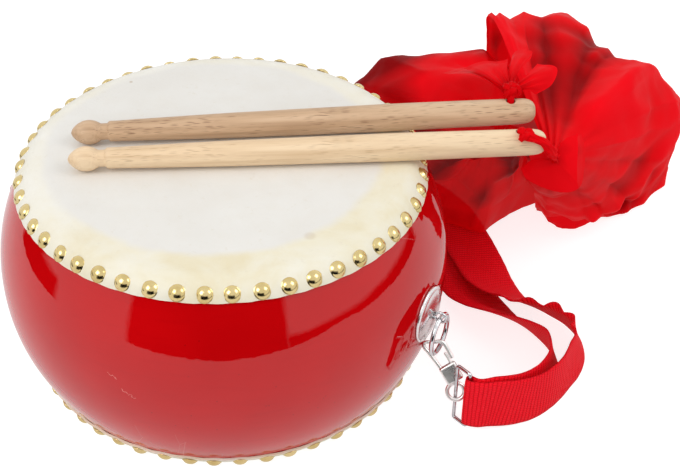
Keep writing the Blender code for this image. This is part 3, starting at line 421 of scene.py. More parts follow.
# Geometry helpers
def piece(name, verts, faces, look, matrix=None):
    """A smooth-shaded mesh object in the row frame."""
    mesh = bpy.data.meshes.new(name)
    mesh.from_pydata([tuple(v) for v in verts], [], faces)
    mesh.validate()
    bm = bmesh.new()
    bm.from_mesh(mesh)
    bmesh.ops.recalc_face_normals(bm, faces=bm.faces)
    bm.to_mesh(mesh)
    bm.free()
    mesh.polygons.foreach_set("use_smooth", [True] * len(mesh.polygons))
    mesh.materials.append(look)
    return add_object(name, mesh, matrix)


def in_mm(rows):
    """Vectors from rows of numbers in millimetres."""
    return [Vector(row) * MM for row in rows]


def join_parts(parts):
    """One list of vertices and faces from several."""
    verts, faces = [], []
    for some_verts, some_faces in parts:
        start = len(verts)
        verts.extend(some_verts)
        faces.extend([tuple(i + start for i in face) for face in some_faces])
    return verts, faces


def turns(count):
    """The angles of that many even steps round a circle."""
    return [2 * pi * i / count for i in range(count)]


def step_at(points, i):
    """The way from the point before to the point after."""
    return points[min(i + 1, len(points) - 1)] - points[max(i - 1, 0)]


def noise_at(x, y, z):
    """Smooth noise between -1 and 1."""
    return noise.noise(Vector((x, y, z)))


def tube_faces(count, sides, cyclic=False):
    """Faces between rings of vertices, with end caps where they don't close."""
    faces = []
    for i in range(count if cyclic else count - 1):
        j = (i + 1) % count
        for k in range(sides):
            m = (k + 1) % sides
            faces.append((i * sides + k, i * sides + m, j * sides + m, j * sides + k))
    if not cyclic:
        faces.append(tuple(range(sides)))
        faces.append(tuple(range((count - 1) * sides, count * sides)))
    return faces


def lathe(profile, sides, shape=None):
    """(radius, height) points turned round Z; shape moves (radius, height, angle)."""
    verts, rings = [], []
    for radius, height in profile:
        ring = []
        for angle in turns(sides) if radius > 1e-7 else [0.0]:
            r, z = shape(radius, height, angle) if shape and radius > 1e-7 else (radius, height)
            ring.append(len(verts))
            verts.append(Vector((r * cos(angle), r * sin(angle), z)))
        rings.append(ring)
    pairs = list(zip(rings, rings[1:]))
    if len(rings[0]) > 1 and len(rings[-1]) > 1:
        pairs.append((rings[-1], rings[0]))
    faces = []
    for a, b in pairs:
        for i in range(sides):
            j = (i + 1) % sides
            if len(a) == 1:
                faces.append((a[0], b[i], b[j]))
            elif len(b) == 1:
                faces.append((a[i], a[j], b[0]))
            else:
                faces.append((a[i], a[j], b[j], b[i]))
    return verts, faces


def sweep(points, radius, sides, cyclic=False):
    """A round bar along points; radius is a number or a call with share, angle."""
    count = len(points)
    tangents = []
    for i in range(count):
        ahead = points[(i + 1) % count] - points[i - 1] if cyclic else step_at(points, i)
        tangents.append(ahead.normalized())
    normal = tangents[0].orthogonal().normalized()
    verts = []
    for i, spot in enumerate(points):
        normal = (normal - normal.dot(tangents[i]) * tangents[i]).normalized()
        side = tangents[i].cross(normal)
        for angle in turns(sides):
            r = radius(i / (count - 1), angle) if callable(radius) else radius
            verts.append(spot + r * (cos(angle) * normal + sin(angle) * side))
    return verts, tube_faces(count, sides, cyclic)


def smooth_route(points, spacing, cyclic=False):
    """A Catmull-Rom curve through the points, read at an even spacing."""
    if cyclic:
        ends = [points[-1], *points, points[0], points[1]]
    else:
        ends = [points[0] * 2 - points[1], *points, points[-1] * 2 - points[-2]]
    fine = []
    for i in range(1, len(ends) - 2):
        a, b, c, d = ends[i - 1:i + 3]
        for k in range(24):
            t = k / 24
            fine.append(0.5 * (
                2 * b + (c - a) * t + (2 * a - 5 * b + 4 * c - d) * t * t
                + (3 * b - a - 3 * c + d) * t ** 3
            ))
    fine.append(ends[-2])
    total = sum((b - a).length for a, b in zip(fine, fine[1:]))
    steps = max(2, round(total / spacing))
    even, walked = [fine[0]], 0.0
    for a, b in zip(fine, fine[1:]):
        length = (b - a).length
        while length and walked + length >= len(even) * total / steps - 1e-9:
            if len(even) >= steps:
                break
            even.append(a.lerp(b, (len(even) * total / steps - walked) / length))
        walked += length
    if not cyclic:
        even.append(fine[-1])
    return even


def hermite(a, leave_a, b, reach_b, t):
    """A point on the cubic from a to b that leaves and arrives with the given slopes."""
    return (
        a * (2 * t ** 3 - 3 * t * t + 1) + leave_a * (t ** 3 - 2 * t * t + t)
        + b * (3 * t * t - 2 * t ** 3) + reach_b * (t ** 3 - t * t)
    )


def boolean_all(made, steps):
    """Apply (operation, helper) Booleans to a piece and drop the helpers."""
    for operation, other in steps:
        cut = made.modifiers.new(operation.title(), "BOOLEAN")
        cut.operation = operation
        cut.solver = "EXACT"
        cut.object = other
    bake(made)
    for _, other in steps:
        bpy.data.objects.remove(other, do_unlink=True)
    return made


def bake(made):
    """Apply all the modifiers of a piece to its mesh."""
    bpy.context.view_layer.update()
    shown = made.evaluated_get(bpy.context.evaluated_depsgraph_get())
    mesh = bpy.data.meshes.new_from_object(shown)
    made.modifiers.clear()
    made.data = mesh
    mesh.polygons.foreach_set("use_smooth", [True] * len(mesh.polygons))
    return made


def settle(made, body, slot, *nodes, look=None):
    """Ride a piece on its body and hide the CAD nodes that it replaces; slot is not used."""
    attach(made, body)
    if nodes:
        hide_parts(*nodes)
    if look:
        made.data.materials.clear()
        made.data.materials.append(look)
    return made


def mark_sharp(made, degrees=35.0):
    """Smooth shading that keeps edges sharper than an angle."""
    mesh = made.data
    bm = bmesh.new()
    bm.from_mesh(mesh)
    limit = radians(degrees)
    for edge in bm.edges:
        if len(edge.link_faces) == 2:
            edge.smooth = edge.calc_face_angle(0.0) < limit
    bm.to_mesh(mesh)
    bm.free()
    return made


def frame_matrix(origin, x_axis, z_axis):
    """Placement with its X and Z along the given directions."""
    x = x_axis.normalized()
    y = z_axis.cross(x).normalized()
    return Matrix.Translation(origin) @ Matrix((x, y, x.cross(y))).transposed().to_4x4()


# Strap: runs of (x, y, lean in degrees, lift), in millimetres
WEBBING_WIDTH = 38.0 * MM
WEBBING_THICKNESS = 1.6 * MM
LOOP_WIRE = 1.2 * MM
LOOP_OUT = Vector((0.92, -0.38, 0.0)).normalized()
LOOP_DEPTH, LOOP_HEIGHT, LOOP_CORNER = 10.5 * MM, 43.4 * MM, 1.6 * MM
OUTER_RUN = [
    (181, -12.4, 90, 4.0), (189, -6.6, 90, 3.4), (199, 2, 90, 1.4), (209, 14, 90, 0),
    (215, 26, 90, 0), (218, 38, 88, 0), (219, 51, 84, 0), (219, 65, 78, 0), (215, 79, 70, 0),
    (207, 90, 62, 0), (195, 97, 55, 0), (181, 100, 47, 0), (167, 103, 38, 0), (153, 109, 27, 0),
    (139, 121, 16, 0), (124, 139, 9, 0.6), (105, 160, 4, 2.2), (80, 184, 2, 2.6),
    (48, 199, 2, 2.6), (10, 203, 2, 2.6), (-28, 202, 2, 1.6),
]
REST_RUN = [
    (-66, 194, 2, 0), (-102, 182, 4, 0), (-136, 160, 10, 0), (-166, 128, 24, 0),
    (-188, 92, 48, 0), (-198, 58, 74, 0), (-196.5, 38, 86, 0), (-190, 22, 90, 2.4),
    (-181, 12.4, 90, 4.0),
]
INNER_RUN = [
    (179.4, -9.4, 90, 4.0), (187, -3, 90, 3.4), (195, 5, 90, 1.4), (202, 14, 89, 0),
    (207, 25, 89, 0), (209, 38, 86, 0), (208, 50, 79, 0), (203, 62, 70, 0), (192, 71, 60, 0),
    (178, 78, 50, 0), (163, 84, 38, 0), (148, 92, 24, 0), (133, 103, 12, 0), (117, 120, 4, 0),
    (101, 139, 2, 0), (82, 160, 2, 0), (56, 182, 2, 0), (26, 196, 2, 0), (-6, 201, 2, 0),
]
SEWN_END = [(-191.5, 35, 88, 0), (-187.0, 23.0, 90, 2.4), (-179.4, 15.0, 90, 4.0)]
FINE_SPACING = 1.6 * MM
STRAP_STEPS, FLAT_SHARE = 14, 0.30
RIPPLE_PITCH, RIPPLE_DEPTH = 21.0 * MM, 3.6 * MM
RIPPLE_START, RIPPLE_END, RIPPLE_FADE = 0.222, 0.318, 0.02
UNDERSIDE_UV = 50 * MM


def webbing_stations(rows):
    """Centre and width direction of the webbing at each row of a run."""
    spots = []
    for x, y, lean, lift in rows:
        angle = radians(lean)
        height = WEBBING_WIDTH / 2 * sin(angle) + WEBBING_THICKNESS / 2 * cos(angle)
        spots.append(Vector((x * MM, y * MM, height + GAP + lift * MM)))
    stations = []
    for i, (spot, row) in enumerate(zip(spots, rows)):
        ahead = step_at(spots, i)
        left = Vector((-ahead.y, ahead.x, 0)).normalized()
        angle = radians(row[2])
        stations.append((spot, left * cos(angle) + UP * sin(angle)))
    return stations


def wrap_stations(bar, outward):
    """The webbing's half turn round a bar; outward points away from the hook."""
    radius = LOOP_WIRE + GAP + WEBBING_THICKNESS / 2
    side = -UP.cross(outward)
    angles = [pi * i / 8 for i in range(9)]
    return [(bar + radius * (cos(angle) * side - sin(angle) * outward), UP)
            for angle in angles]


def spread_stations(stations, spacing):
    """More stations on a smooth curve through the given ones."""
    spots = [spot for spot, _ in stations]
    widths = [width for _, width in stations]
    result = []
    for i in range(len(spots) - 1):
        a, b, c, d = (spots[max(i - 1, 0)], spots[i], spots[i + 1],
                      spots[min(i + 2, len(spots) - 1)])
        length = (c - b).length
        steps = max(1, round(length / spacing))
        before = max((b - a).length, 1e-6)
        after = max((d - c).length, 1e-6)
        start = ((b - a) / before + (c - b) / length).normalized() * length
        end = ((c - b) / length + (d - c) / after).normalized() * length
        for k in range(steps):
            t = k / steps
            result.append((hermite(b, start, c, end, t), widths[i].lerp(widths[i + 1], t)))
    result.append(stations[-1])
    return result


def strap_piece(name, stations, ripple):
    """Webbing whose upper edge ripples; ripple(distance) gives the depth there."""
    section = [(-1 + 2 * k / STRAP_STEPS, 1) for k in range(STRAP_STEPS + 1)]
    section += [(w, -1) for w, _ in reversed(section)]
    verts, uvs = [], []
    walked = 0.0
    spots = [spot for spot, _ in stations]
    for i, (spot, width) in enumerate(stations):
        ahead = step_at(spots, i).normalized()
        across = (width - width.dot(ahead) * ahead).normalized()
        face = ahead.cross(across)
        if i:
            walked += (spot - spots[i - 1]).length
        for w, t in section:
            edge = max(0.0, (abs(w) - FLAT_SHARE) / (1.0 - FLAT_SHARE))
            depth = ripple(walked) if w > 0 else 0.0
            drift = noise_at(walked * 45, 2.0, 3.0)
            phase = walked / RIPPLE_PITCH * pi + 0.8 * drift
            swing = 0.12 * MM * noise_at(walked * 150, w * 2, 3.0)
            lift = (0.7 * depth * sin(2 * phase) + swing) * edge * edge
            pull = depth * edge ** 2 * (abs(sin(phase)) ** 0.6 - 1.0)
            half = WEBBING_WIDTH / 2 - 0.15 * MM
            loops = 0.16 * MM * (abs(sin(walked / LUMP_PITCH * pi)) - 1.0)
            pull += loops if abs(w) > 0.99 else 0.0
            thick = WEBBING_THICKNESS / 2 * (1 - 0.55 * edge ** 6)
            cup = 0.25 * MM * noise_at(walked * 14, 0.0, 9.0) * (1 - w * w)
            out = w * half + (pull if w > 0 else -pull)
            verts.append(spot + across * out + face * (t * thick + lift + cup))
            uvs.append((walked, w * WEBBING_WIDTH / 2 + (0.0 if t > 0 else UNDERSIDE_UV)))
    made = piece(name, verts, tube_faces(len(stations), len(section)), WEBBING)
    layer = made.data.uv_layers.new(name="tape")
    for loop in made.data.loops:
        layer.data[loop.index].uv = uvs[loop.vertex_index]
    return made


# Hook frame, as in the part's source
EYE_X = 147.84 * MM
RING_CENTRE = Vector((EYE_X, 0.0, 58.15 * MM))
HOOK_U = Vector((0.665, -0.19, -0.722)).normalized()
HOOK_N = Vector((0.165, -0.741, 0.651))
HOOK_N = (HOOK_N - HOOK_N.dot(HOOK_U) * HOOK_U).normalized()
HOOK_V = HOOK_N.cross(HOOK_U).normalized()
BOW_WIRE, BOW_SHOULDER, BOW_WIDTH = 1.2 * MM, 4.4 * MM, 11.9 * MM
RING_WIRE, RING_RADIUS = 1.5 * MM, 12.5 * MM
RING_FOOT = RING_CENTRE - UP * RING_RADIUS
HOOK_NOSE = RING_FOOT - HOOK_V * 7.0 * MM - HOOK_U * (
    (BOW_WIRE + RING_WIRE + 2 * GAP) * 1.35 + BOW_SHOULDER * 7.0 * MM / BOW_WIDTH
)


def hook_point(along, across):
    """A point in the hook's plane, in millimetres along it from its nose and across it."""
    return HOOK_NOSE + (HOOK_U * along + HOOK_V * across) * MM


TAIL_EYE_ALONG, TAIL_EYE_ACROSS = 35.5, 3.2
LOOP_SIDE = hook_point(TAIL_EYE_ALONG, TAIL_EYE_ACROSS)
NEAR_BAR = LOOP_SIDE + LOOP_OUT * LOOP_DEPTH


def near_ripple(walked):
    """Scallops over the back of the loop, where the edge is stretched."""
    rise = min(1.0, max(0.0, (walked - RIPPLE_START) / RIPPLE_FADE))
    fall = min(1.0, max(0.0, (RIPPLE_END - walked) / RIPPLE_FADE))
    return RIPPLE_DEPTH * rise * fall


def make_strap():
    """The webbing in two parts, each with its path and length, and all its stations."""
    far_bar = FAR_TURN @ NEAR_BAR
    far_out = FAR_TURN.to_3x3() @ LOOP_OUT
    far = webbing_stations(SEWN_END) + wrap_stations(far_bar, far_out)
    long_run = webbing_stations(OUTER_RUN + REST_RUN)[::-1]
    near = wrap_stations(NEAR_BAR, LOOP_OUT)
    inner = webbing_stations(INNER_RUN)
    stations = spread_stations(far + long_run + near + inner, FINE_SPACING)
    joint = long_run[len(REST_RUN)][0]
    split = min(range(len(stations)), key=lambda i: (stations[i][0] - joint).length)
    far_part = strap_piece("strap_far_part", stations[:split + 1], lambda walked: 0.0)
    near_part = strap_piece("strap_near_part", stations[split:], near_ripple)
    for made in (far_part, near_part):
        settle(made, "drum", "red_webbing", "strap_webbing")
        made.parent = None
    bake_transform(far_part)
    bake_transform(near_part)
    cords = []
    for made, part in ((far_part, stations[:split + 1]), (near_part, stations[split:])):
        path = [tuple(s) for s, _ in part[::4]] + [tuple(part[-1][0])]
        length = sum((Vector(b) - Vector(a)).length for a, b in zip(path, path[1:]))
        cords.append((made, path, length))
    return cords, stations


STRAP_CORDS, STATIONS = make_strap()
STITCH_PITCH, THREAD_RADIUS = 2.4 * MM, 0.24 * MM
STITCH_STEP, STITCH_RISE, STITCH_BEND = 0.42, 0.28, 0.09


def stitch_rows(name, stations, rows, body):
    """Rows of short stitches on the upper face of the webbing."""
    parts = []
    walked = 0.0
    for i in range(1, len(stations)):
        spot, width = stations[i]
        before = stations[i - 1][0]
        walked += (spot - before).length
        if walked < STITCH_PITCH:
            continue
        walked = 0.0
        ahead = (spot - before).normalized()
        across = (width - width.dot(ahead) * ahead).normalized()
        face = ahead.cross(across)
        for row in rows:
            for sign in (1, -1):
                base = spot + across * row * MM + face * (sign * WEBBING_THICKNESS / 2)
                bend = [base + ahead * k * STITCH_STEP * MM
                        + face * sign * (STITCH_RISE - STITCH_BEND * k ** 2) * MM
                        for k in range(-2, 3)]
                parts.append(sweep(bend, THREAD_RADIUS, 6))
    made = piece(name, *join_parts(parts), THREAD)
    return settle(made, body, "red_webbing")


# Stitches at the sewn end by the far loop and where the doubled end is held
STITCHES = (
    stitch_rows("far_end_stitches", STATIONS[6:20], (-15, -5, 5, 15), "hook_far"),
    stitch_rows("held_end_stitches", STATIONS[-32:-3], (-15.5, -5, 5, 15.5), "drum"),
)


# Drum
BELLY_STEPS, INNER_STEPS, DRUM_SIDES, SKIN_SIDES = 40, 24, 240, 400


def edge_arc(radius, steps):
    """The rounded rim's section, from the flat head to the skirt."""
    angles = [SKIRT_ANGLE * i / steps for i in range(steps + 1)]
    return [(EDGE_RADIUS + radius * sin(angle),
             MID + EDGE_HEIGHT + radius * cos(angle)) for angle in angles]


def make_shell():
    """The hollow barrel with its two holes for the split pins."""
    upper = edge_arc(SHELL_ROUND, 10)
    lower = [(r, DRUM_HEIGHT - z) for r, z in reversed(upper)]
    belly = []
    for i in range(1, BELLY_STEPS):
        share = 1 - 2 * i / BELLY_STEPS
        swell = (BELLY_RADIUS - SHELL_END_RADIUS) * (1 - abs(share) ** BELLY_POWER)
        belly.append((SHELL_END_RADIUS + swell, MID + SHELL_END_HEIGHT * share))
    half = MID - SKIN_THICKNESS - GAP
    inside = []
    for i in range(INNER_STEPS + 1):
        share = -1 + 2 * i / INNER_STEPS
        swell = INNER_SWELL * (1 - abs(share) ** BELLY_POWER)
        inside.append((MOUTH_RADIUS + swell, MID + half * share))
    outline = upper + belly + lower + inside
    shell = piece("shell_lacquered", *lathe(outline, DRUM_SIDES), LACQUER)
    holes = []
    for side in (1, -1):
        points = [Vector((side * x * MM, 0, MID)) for x in (100, 130, 160)]
        hole = piece("hole", *sweep(points, PIN_HOLE_RADIUS, 20), LACQUER)
        holes.append(("DIFFERENCE", hole))
    boolean_all(shell, holes)
    return settle(mark_sharp(shell), "drum", "red_lacquer", "drum_shell", look=LACQUER)


def make_skin(name, node, flip):
    """The hide: flat over the mouth, puckered between the tacks, cut edge wavy."""
    outer = edge_arc(EDGE_ROUND, 18)
    inner = edge_arc(SHELL_ROUND + 0.02 * MM, 18)[::-1]
    flat = [(EDGE_RADIUS * k / 12, DRUM_HEIGHT) for k in range(12)]
    under = [(r, DRUM_HEIGHT - SKIN_THICKNESS) for r, _ in flat[:0:-1]]
    under.append((0.0, DRUM_HEIGHT - SKIN_THICKNESS))
    seed = 4.0 if flip else 1.0

    def shape(radius, height, angle):
        over = max(0.0, (radius - EDGE_RADIUS) / (SKIRT_RADIUS - EDGE_RADIUS))
        if height > DRUM_HEIGHT - SKIN_THICKNESS / 2 and over <= 0:
            return radius, height
        between = 0.5 - 0.5 * cos(angle * TACKS)
        across, along = cos(angle), sin(angle)
        wave = noise_at(across * 5, along * 5, seed)
        fine = noise_at(across * 38, along * 38, seed + 2)
        drop = over ** 6 * (0.25 * wave + 0.15 * fine - 0.10 * between) * MM
        swell = over ** 2 * (0.35 * between + 0.15 * wave) * MM
        return radius + swell, height + drop

    verts, faces = lathe(flat + outer + inner + under, SKIN_SIDES, shape)
    if flip:
        verts = [Vector((v.x, v.y, DRUM_HEIGHT - v.z)) for v in verts]
    made = piece(name, verts, faces, SKIN)
    return settle(mark_sharp(made, 50.0), "drum", "drum_skin", node)


TACK_DOME = [
    (0.0, 2.3), (0.9, 2.24), (1.8, 2.05), (2.7, 1.70), (3.45, 1.22), (4.0, 0.72), (4.30, 0.34),
    (4.50, 0.16), (4.78, 0.10), (4.9, -0.10), (4.85, -0.40), (4.2, -0.60), (0.0, -0.62),
]
TACK_SHANK = [(0.0, 0.2), (0.80, 0.2), (0.78, -3.0), (0.45, -6.2), (0.0, -8.3)]


def make_tacks(name, node, flip):
    """Domed brass tacks with a small flange, each set a little differently."""
    rng = random.Random(7 if flip else 3)
    radius = EDGE_RADIUS + EDGE_ROUND * sin(TACK_ANGLE)
    height = MID + EDGE_HEIGHT + EDGE_ROUND * cos(TACK_ANGLE)
    parts = []
    for i in range(TACKS):
        place = Matrix.Rotation(2 * pi * (i + rng.uniform(-0.05, 0.05)) / TACKS, 4, "Z")
        place = place @ Matrix.Translation((radius, 0, height + rng.uniform(-0.35, 0.35) * MM))
        place = place @ Matrix.Rotation(TACK_ANGLE + rng.uniform(-0.06, 0.06), 4, "Y")
        place = place @ Matrix.Rotation(rng.uniform(-0.05, 0.05), 4, "X")
        if flip:
            mirror = Matrix.Translation((0, 0, DRUM_HEIGHT)) @ Matrix.Scale(-1, 4, UP)
            place = mirror @ place
        for outline, sides in ((TACK_DOME, 28), (TACK_SHANK, 8)):
            verts, faces = lathe([(r * MM, z * MM) for r, z in outline], sides)
            parts.append(([place @ v for v in verts], faces))
    made = piece(name, *join_parts(parts), BRASS)
    return settle(made, "drum", "drum_skin", node)


make_shell()
make_skin("skin_upper", "top_head", False)
make_skin("skin_lower", "bottom_head", True)
make_tacks("tacks_upper", "top_head", False)
make_tacks("tacks_lower", "bottom_head", True)


# Rings, plates and pins
ALONG_X = frame_matrix(Vector((0, 0, MID)), Vector((0, 0, -1)), Vector((1, 0, 0)))
PLATE_RADIUS = 18.0 * MM
PLATE_BASE = sqrt(BELLY_RADIUS ** 2 - PLATE_RADIUS ** 2) + GAP
PLATE_RISE, PLATE_THICKNESS, PLATE_STEPS = 3.2 * MM, 1.0 * MM, 14
EYE_WIRE, EYE_RADIUS, LEG_APART = 0.85 * MM, 3.5 * MM, 1.0 * MM


def make_plate(side, turn):
    """Domed plate whose rim follows the belly, with a rolled edge."""
    outer, inner = [], []
    for i in range(PLATE_STEPS + 1):
        share = i / PLATE_STEPS
        radius = PIN_HOLE_RADIUS + (PLATE_RADIUS - PIN_HOLE_RADIUS) * share
        rise = PLATE_RISE * (1 - share ** 2)
        roll = 0.35 * MM * exp(-((share - 0.93) / 0.05) ** 2)
        outer.append((radius, PLATE_BASE + PLATE_THICKNESS + rise + roll))
        inner.append((radius, PLATE_BASE + rise))
    rim = [(PLATE_RADIUS + 0.12 * MM, PLATE_BASE + 0.6 * MM)]
    made = piece("plate_" + side, *lathe(outer + rim + inner[::-1], 72), PLATE, turn @ ALONG_X)
    return settle(mark_sharp(made, 50.0), "drum", "chrome", "ring_plate_" + side)


def make_eye_pin(side, turn):
    """Split pin: half-round legs through the shell, bent out behind the washer."""
    washer_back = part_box("pin_washer_near")[0][0]
    bend = washer_back - GAP - EYE_WIRE
    leg = MID + LEG_APART
    tail = [Vector((bend, 0.0, leg + end * MM)) for end in (11.0, 6.0)]
    for i in range(7):
        angle = pi / 2 * i / 6
        tail.append(Vector((bend + LEG_APART * 1.2 * (1 - cos(angle)), 0.0,
                            leg + LEG_APART * 1.2 * (1 - sin(angle)))))
    centre = Vector((EYE_X, 0.0, MID))
    opening = asin(LEG_APART / EYE_RADIUS)
    eye = []
    for i in range(37):
        angle = pi - opening - (2 * pi - 2 * opening) * i / 36
        eye.append(centre + EYE_RADIUS * Vector((cos(angle), 0.0, sin(angle))))
    back = [Vector((spot.x, 0.0, 2 * MID - spot.z)) for spot in reversed(tail)]
    points = [turn @ spot for spot in tail + eye + back]
    made = piece("pin_" + side, *sweep(points, EYE_WIRE, 14), CHROME)
    return settle(mark_sharp(made, 60.0), "drum", "chrome", "eye_pin_" + side)


def make_ring(side, turn):
    """Welded ring; the weld is a slight swelling that is turned to the pin."""
    ways = [Vector((0, sin(angle), cos(angle))) for angle in turns(96)]
    points = [turn @ (RING_CENTRE + way * RING_RADIUS) for way in ways]

    def radius(share, _angle):
        return RING_WIRE + 0.12 * MM * exp(-((share - 0.12) / 0.012) ** 2)

    made = piece("ring_" + side, *sweep(points, radius, 18, cyclic=True), CHROME)
    return settle(made, "ring_" + side, "chrome", "strap_ring_" + side)


# Snap hooks, in millimetres along the hook from its nose, across it and out of it
BODY_START, BODY_LENGTH, BODY_WIDTH, BODY_DEPTH, BODY_ACROSS = 18.0, 12.0, 11.0, 5.2, 6.6
GATE_RADIUS, BARREL_RADIUS, SLOT_DEPTH, SLOT_ROOM = 0.9, 2.3, 2.6, 2.6
GATE_INSET = BOW_WIRE / MM + GATE_RADIUS + 0.3
PIVOT_ALONG = BODY_START + 7.5
PIVOT_ACROSS = BOW_WIDTH / MM - GATE_INSET
GATE_TIP = BOW_SHOULDER / MM + 6.6
SLOT_INNER = PIVOT_ACROSS - BARREL_RADIUS - SLOT_ROOM
SLOT_OUTER = BODY_ACROSS + BODY_WIDTH / 2 + 2.0
TAIL_EYE_RADIUS, TAIL_EYE_WIRE, PIVOT_BORE, END_ROUND = 5.3, 1.3, 1.0, 0.2
BOW_ROUTE = [(20.0, 2.6), (8.0, 1.2), (1.5, 0.3), (-0.4, 2.0), (1.9, 6.8), (3.6, 10.6),
             (5.6, 11.9), (10.0, 12.0), (17.9, 11.7)]


def rounded_box(name, size, matrix, bevel, segments):
    bm = bmesh.new()
    bmesh.ops.create_cube(bm, size=1.0)
    bmesh.ops.scale(bm, vec=size, verts=bm.verts)
    bmesh.ops.bevel(bm, geom=bm.edges[:], offset=bevel, offset_type="OFFSET",
                    segments=segments, profile=0.5, affect="EDGES", clamp_overlap=True)
    mesh = bpy.data.meshes.new(name)
    bm.to_mesh(mesh)
    bm.free()
    return add_object(name, mesh, matrix)


def make_hook(side, turn):
    """Cast body with its bow, tail eye and slot, and the gate on its barrel."""
    def at(along, across):
        return turn @ hook_point(along, across)

    facing = turn.to_3x3() @ HOOK_N
    lengthwise = turn.to_3x3() @ HOOK_U
    across = turn.to_3x3() @ HOOK_V
    place = frame_matrix(at(BODY_START + BODY_LENGTH / 2, BODY_ACROSS), lengthwise, facing)
    size = (BODY_LENGTH * MM, BODY_WIDTH * MM, BODY_DEPTH * MM)
    body = rounded_box("hook_" + side, size, place, 1.3 * MM, 3)
    route = smooth_route([Vector((*spot, 0)) for spot in BOW_ROUTE], 0.6)

    def bow_radius(share, _angle):
        return BOW_WIRE * (1.0 - 0.35 * max(0.0, (share - 0.975) / 0.025) ** 2)

    bow = piece("bow", *sweep([at(p.x, p.y) for p in route], bow_radius, 18), CAST)
    ways = [cos(angle) * across + sin(angle) * lengthwise for angle in turns(56)]
    eye_points = [at(TAIL_EYE_ALONG, TAIL_EYE_ACROSS) + TAIL_EYE_RADIUS * MM * way for way in ways]
    eye = piece("eye", *sweep(eye_points, TAIL_EYE_WIRE * MM, 18, cyclic=True), CAST)
    slot_end = PIVOT_ALONG + BARREL_RADIUS + 0.6
    slot_start = BODY_START - 2.0
    slot_place = frame_matrix(
        at((slot_start + slot_end) / 2, (SLOT_INNER + SLOT_OUTER) / 2), lengthwise, facing)
    size = ((slot_end - slot_start) * MM, (SLOT_OUTER - SLOT_INNER) * MM, SLOT_DEPTH * MM)
    slot = rounded_box("slot", size, slot_place, 0.25 * MM, 2)
    pivot = at(PIVOT_ALONG, PIVOT_ACROSS)

    def pivot_bore():
        spots = [pivot + facing * k * 5 * MM for k in (-2, 0, 2)]
        return piece("bore", *sweep(spots, PIVOT_BORE * MM, 24), CAST)

    boolean_all(body, [("UNION", bow), ("UNION", eye), ("DIFFERENCE", slot),
                       ("DIFFERENCE", pivot_bore())])
    soften = body.modifiers.new("Cast", "REMESH")
    soften.mode = "VOXEL"
    soften.voxel_size = 0.26 * MM
    relax = body.modifiers.new("Relax", "SMOOTH")
    relax.factor = 0.5
    relax.iterations = 3
    bake(body)
    settle(body, "hook_" + side, "cast_hook", "hook_body_" + side, look=CAST)

    def barrel_radius(share, _angle):
        return BARREL_RADIUS * MM - (END_ROUND * MM if share in (0, 1) else 0)

    barrel_half = (SLOT_DEPTH / 2 - 0.3) * MM
    barrel_points = [pivot + facing * barrel_half * k for k in (-1, -0.8, 0.8, 1)]
    barrel = piece("gate_" + side, *sweep(barrel_points, barrel_radius, 40), CAST)
    tip = at(GATE_TIP, PIVOT_ACROSS)
    rod_points = smooth_route([tip, tip.lerp(pivot, 0.5), pivot.lerp(tip, 0.05)], 0.6 * MM)

    def rod_radius(share, _angle):
        return GATE_RADIUS * MM * min(1.0, 0.6 + 12 * share)

    rod = piece("rod", *sweep(rod_points, rod_radius, 18), CAST)
    boolean_all(barrel, [("UNION", rod), ("DIFFERENCE", pivot_bore())])
    settle(mark_sharp(barrel, 40.0), "gate_" + side, "cast_hook", "hook_gate_" + side, look=CAST)


def make_loop(side, turn):
    """Wire frame between the hook's tail eye and the webbing."""
    half, corner = LOOP_HEIGHT / 2, LOOP_CORNER
    corners = [LOOP_SIDE + UP * half, LOOP_SIDE + UP * half + LOOP_OUT * LOOP_DEPTH,
               LOOP_SIDE - UP * half + LOOP_OUT * LOOP_DEPTH, LOOP_SIDE - UP * half]
    points = []
    for i, spot in enumerate(corners):
        before = (corners[i - 1] - spot).normalized() * corner
        after = (corners[(i + 1) % 4] - spot).normalized() * corner
        for k in range(8):
            share = k / 7
            points.append(turn @ (spot + (1 - share) ** 2 * before + share ** 2 * after))
        run = corners[(i + 1) % 4] - spot
        steps = max(2, round(run.length / (3 * MM)))
        for k in range(1, steps):
            there = spot + run.normalized() * (corner + (run.length - 2 * corner) * k / steps)
            points.append(turn @ there)
    made = piece("loop_" + side, *sweep(points, LOOP_WIRE, 16, cyclic=True), WIRE)
    return settle(made, "hook_" + side, "steel", "strap_loop_" + side)


for side_name, side_turn in SIDES.items():
    make_plate(side_name, side_turn)
    make_eye_pin(side_name, side_turn)
    make_ring(side_name, side_turn)
    make_hook(side_name, side_turn)
    make_loop(side_name, side_turn)
    for node_name in ("pin_washer_", "gate_pin_", "gate_spring_"):
        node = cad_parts[node_name + side_name]
        node.data.materials.clear()
        node.data.materials.append(STEEL)


# Sticks, in millimetres: (tip, turn, look, slot) of each
STICK_LENGTH, BEAD_LENGTH, BEAD_RADIUS, NECK_RADIUS = 287.0, 22.0, 7.5, 6.3
STICK_RADIUS, STICK_WIDEST, HOLE_FROM_BUTT, HOLE_RADIUS = 8.5, 190.0, 16.0, 3.0
NECK_END, TAPER_BREAK = 24.5, 95.0
STICKS = {
    "upper": (Vector((-87.8, -30.6)), radians(31.8), BEECH_DARK, "beech_dark"),
    "lower": (Vector((-73.6, -54.8)), radians(30.5), BEECH_PALE, "beech_pale"),
}
STICK_SLOPE = (STICK_RADIUS - BEAD_RADIUS) / (STICK_WIDEST - BEAD_LENGTH / 2)


def stick_point(tip, angle, along):
    """A point on the stick's axis; it lies on the head along its whole length."""
    height = (DRUM_HEIGHT + GAP) / MM + BEAD_RADIUS + (along - BEAD_LENGTH / 2) * STICK_SLOPE
    return Vector((tip.x + along * cos(angle), tip.y + along * sin(angle), height)) * MM


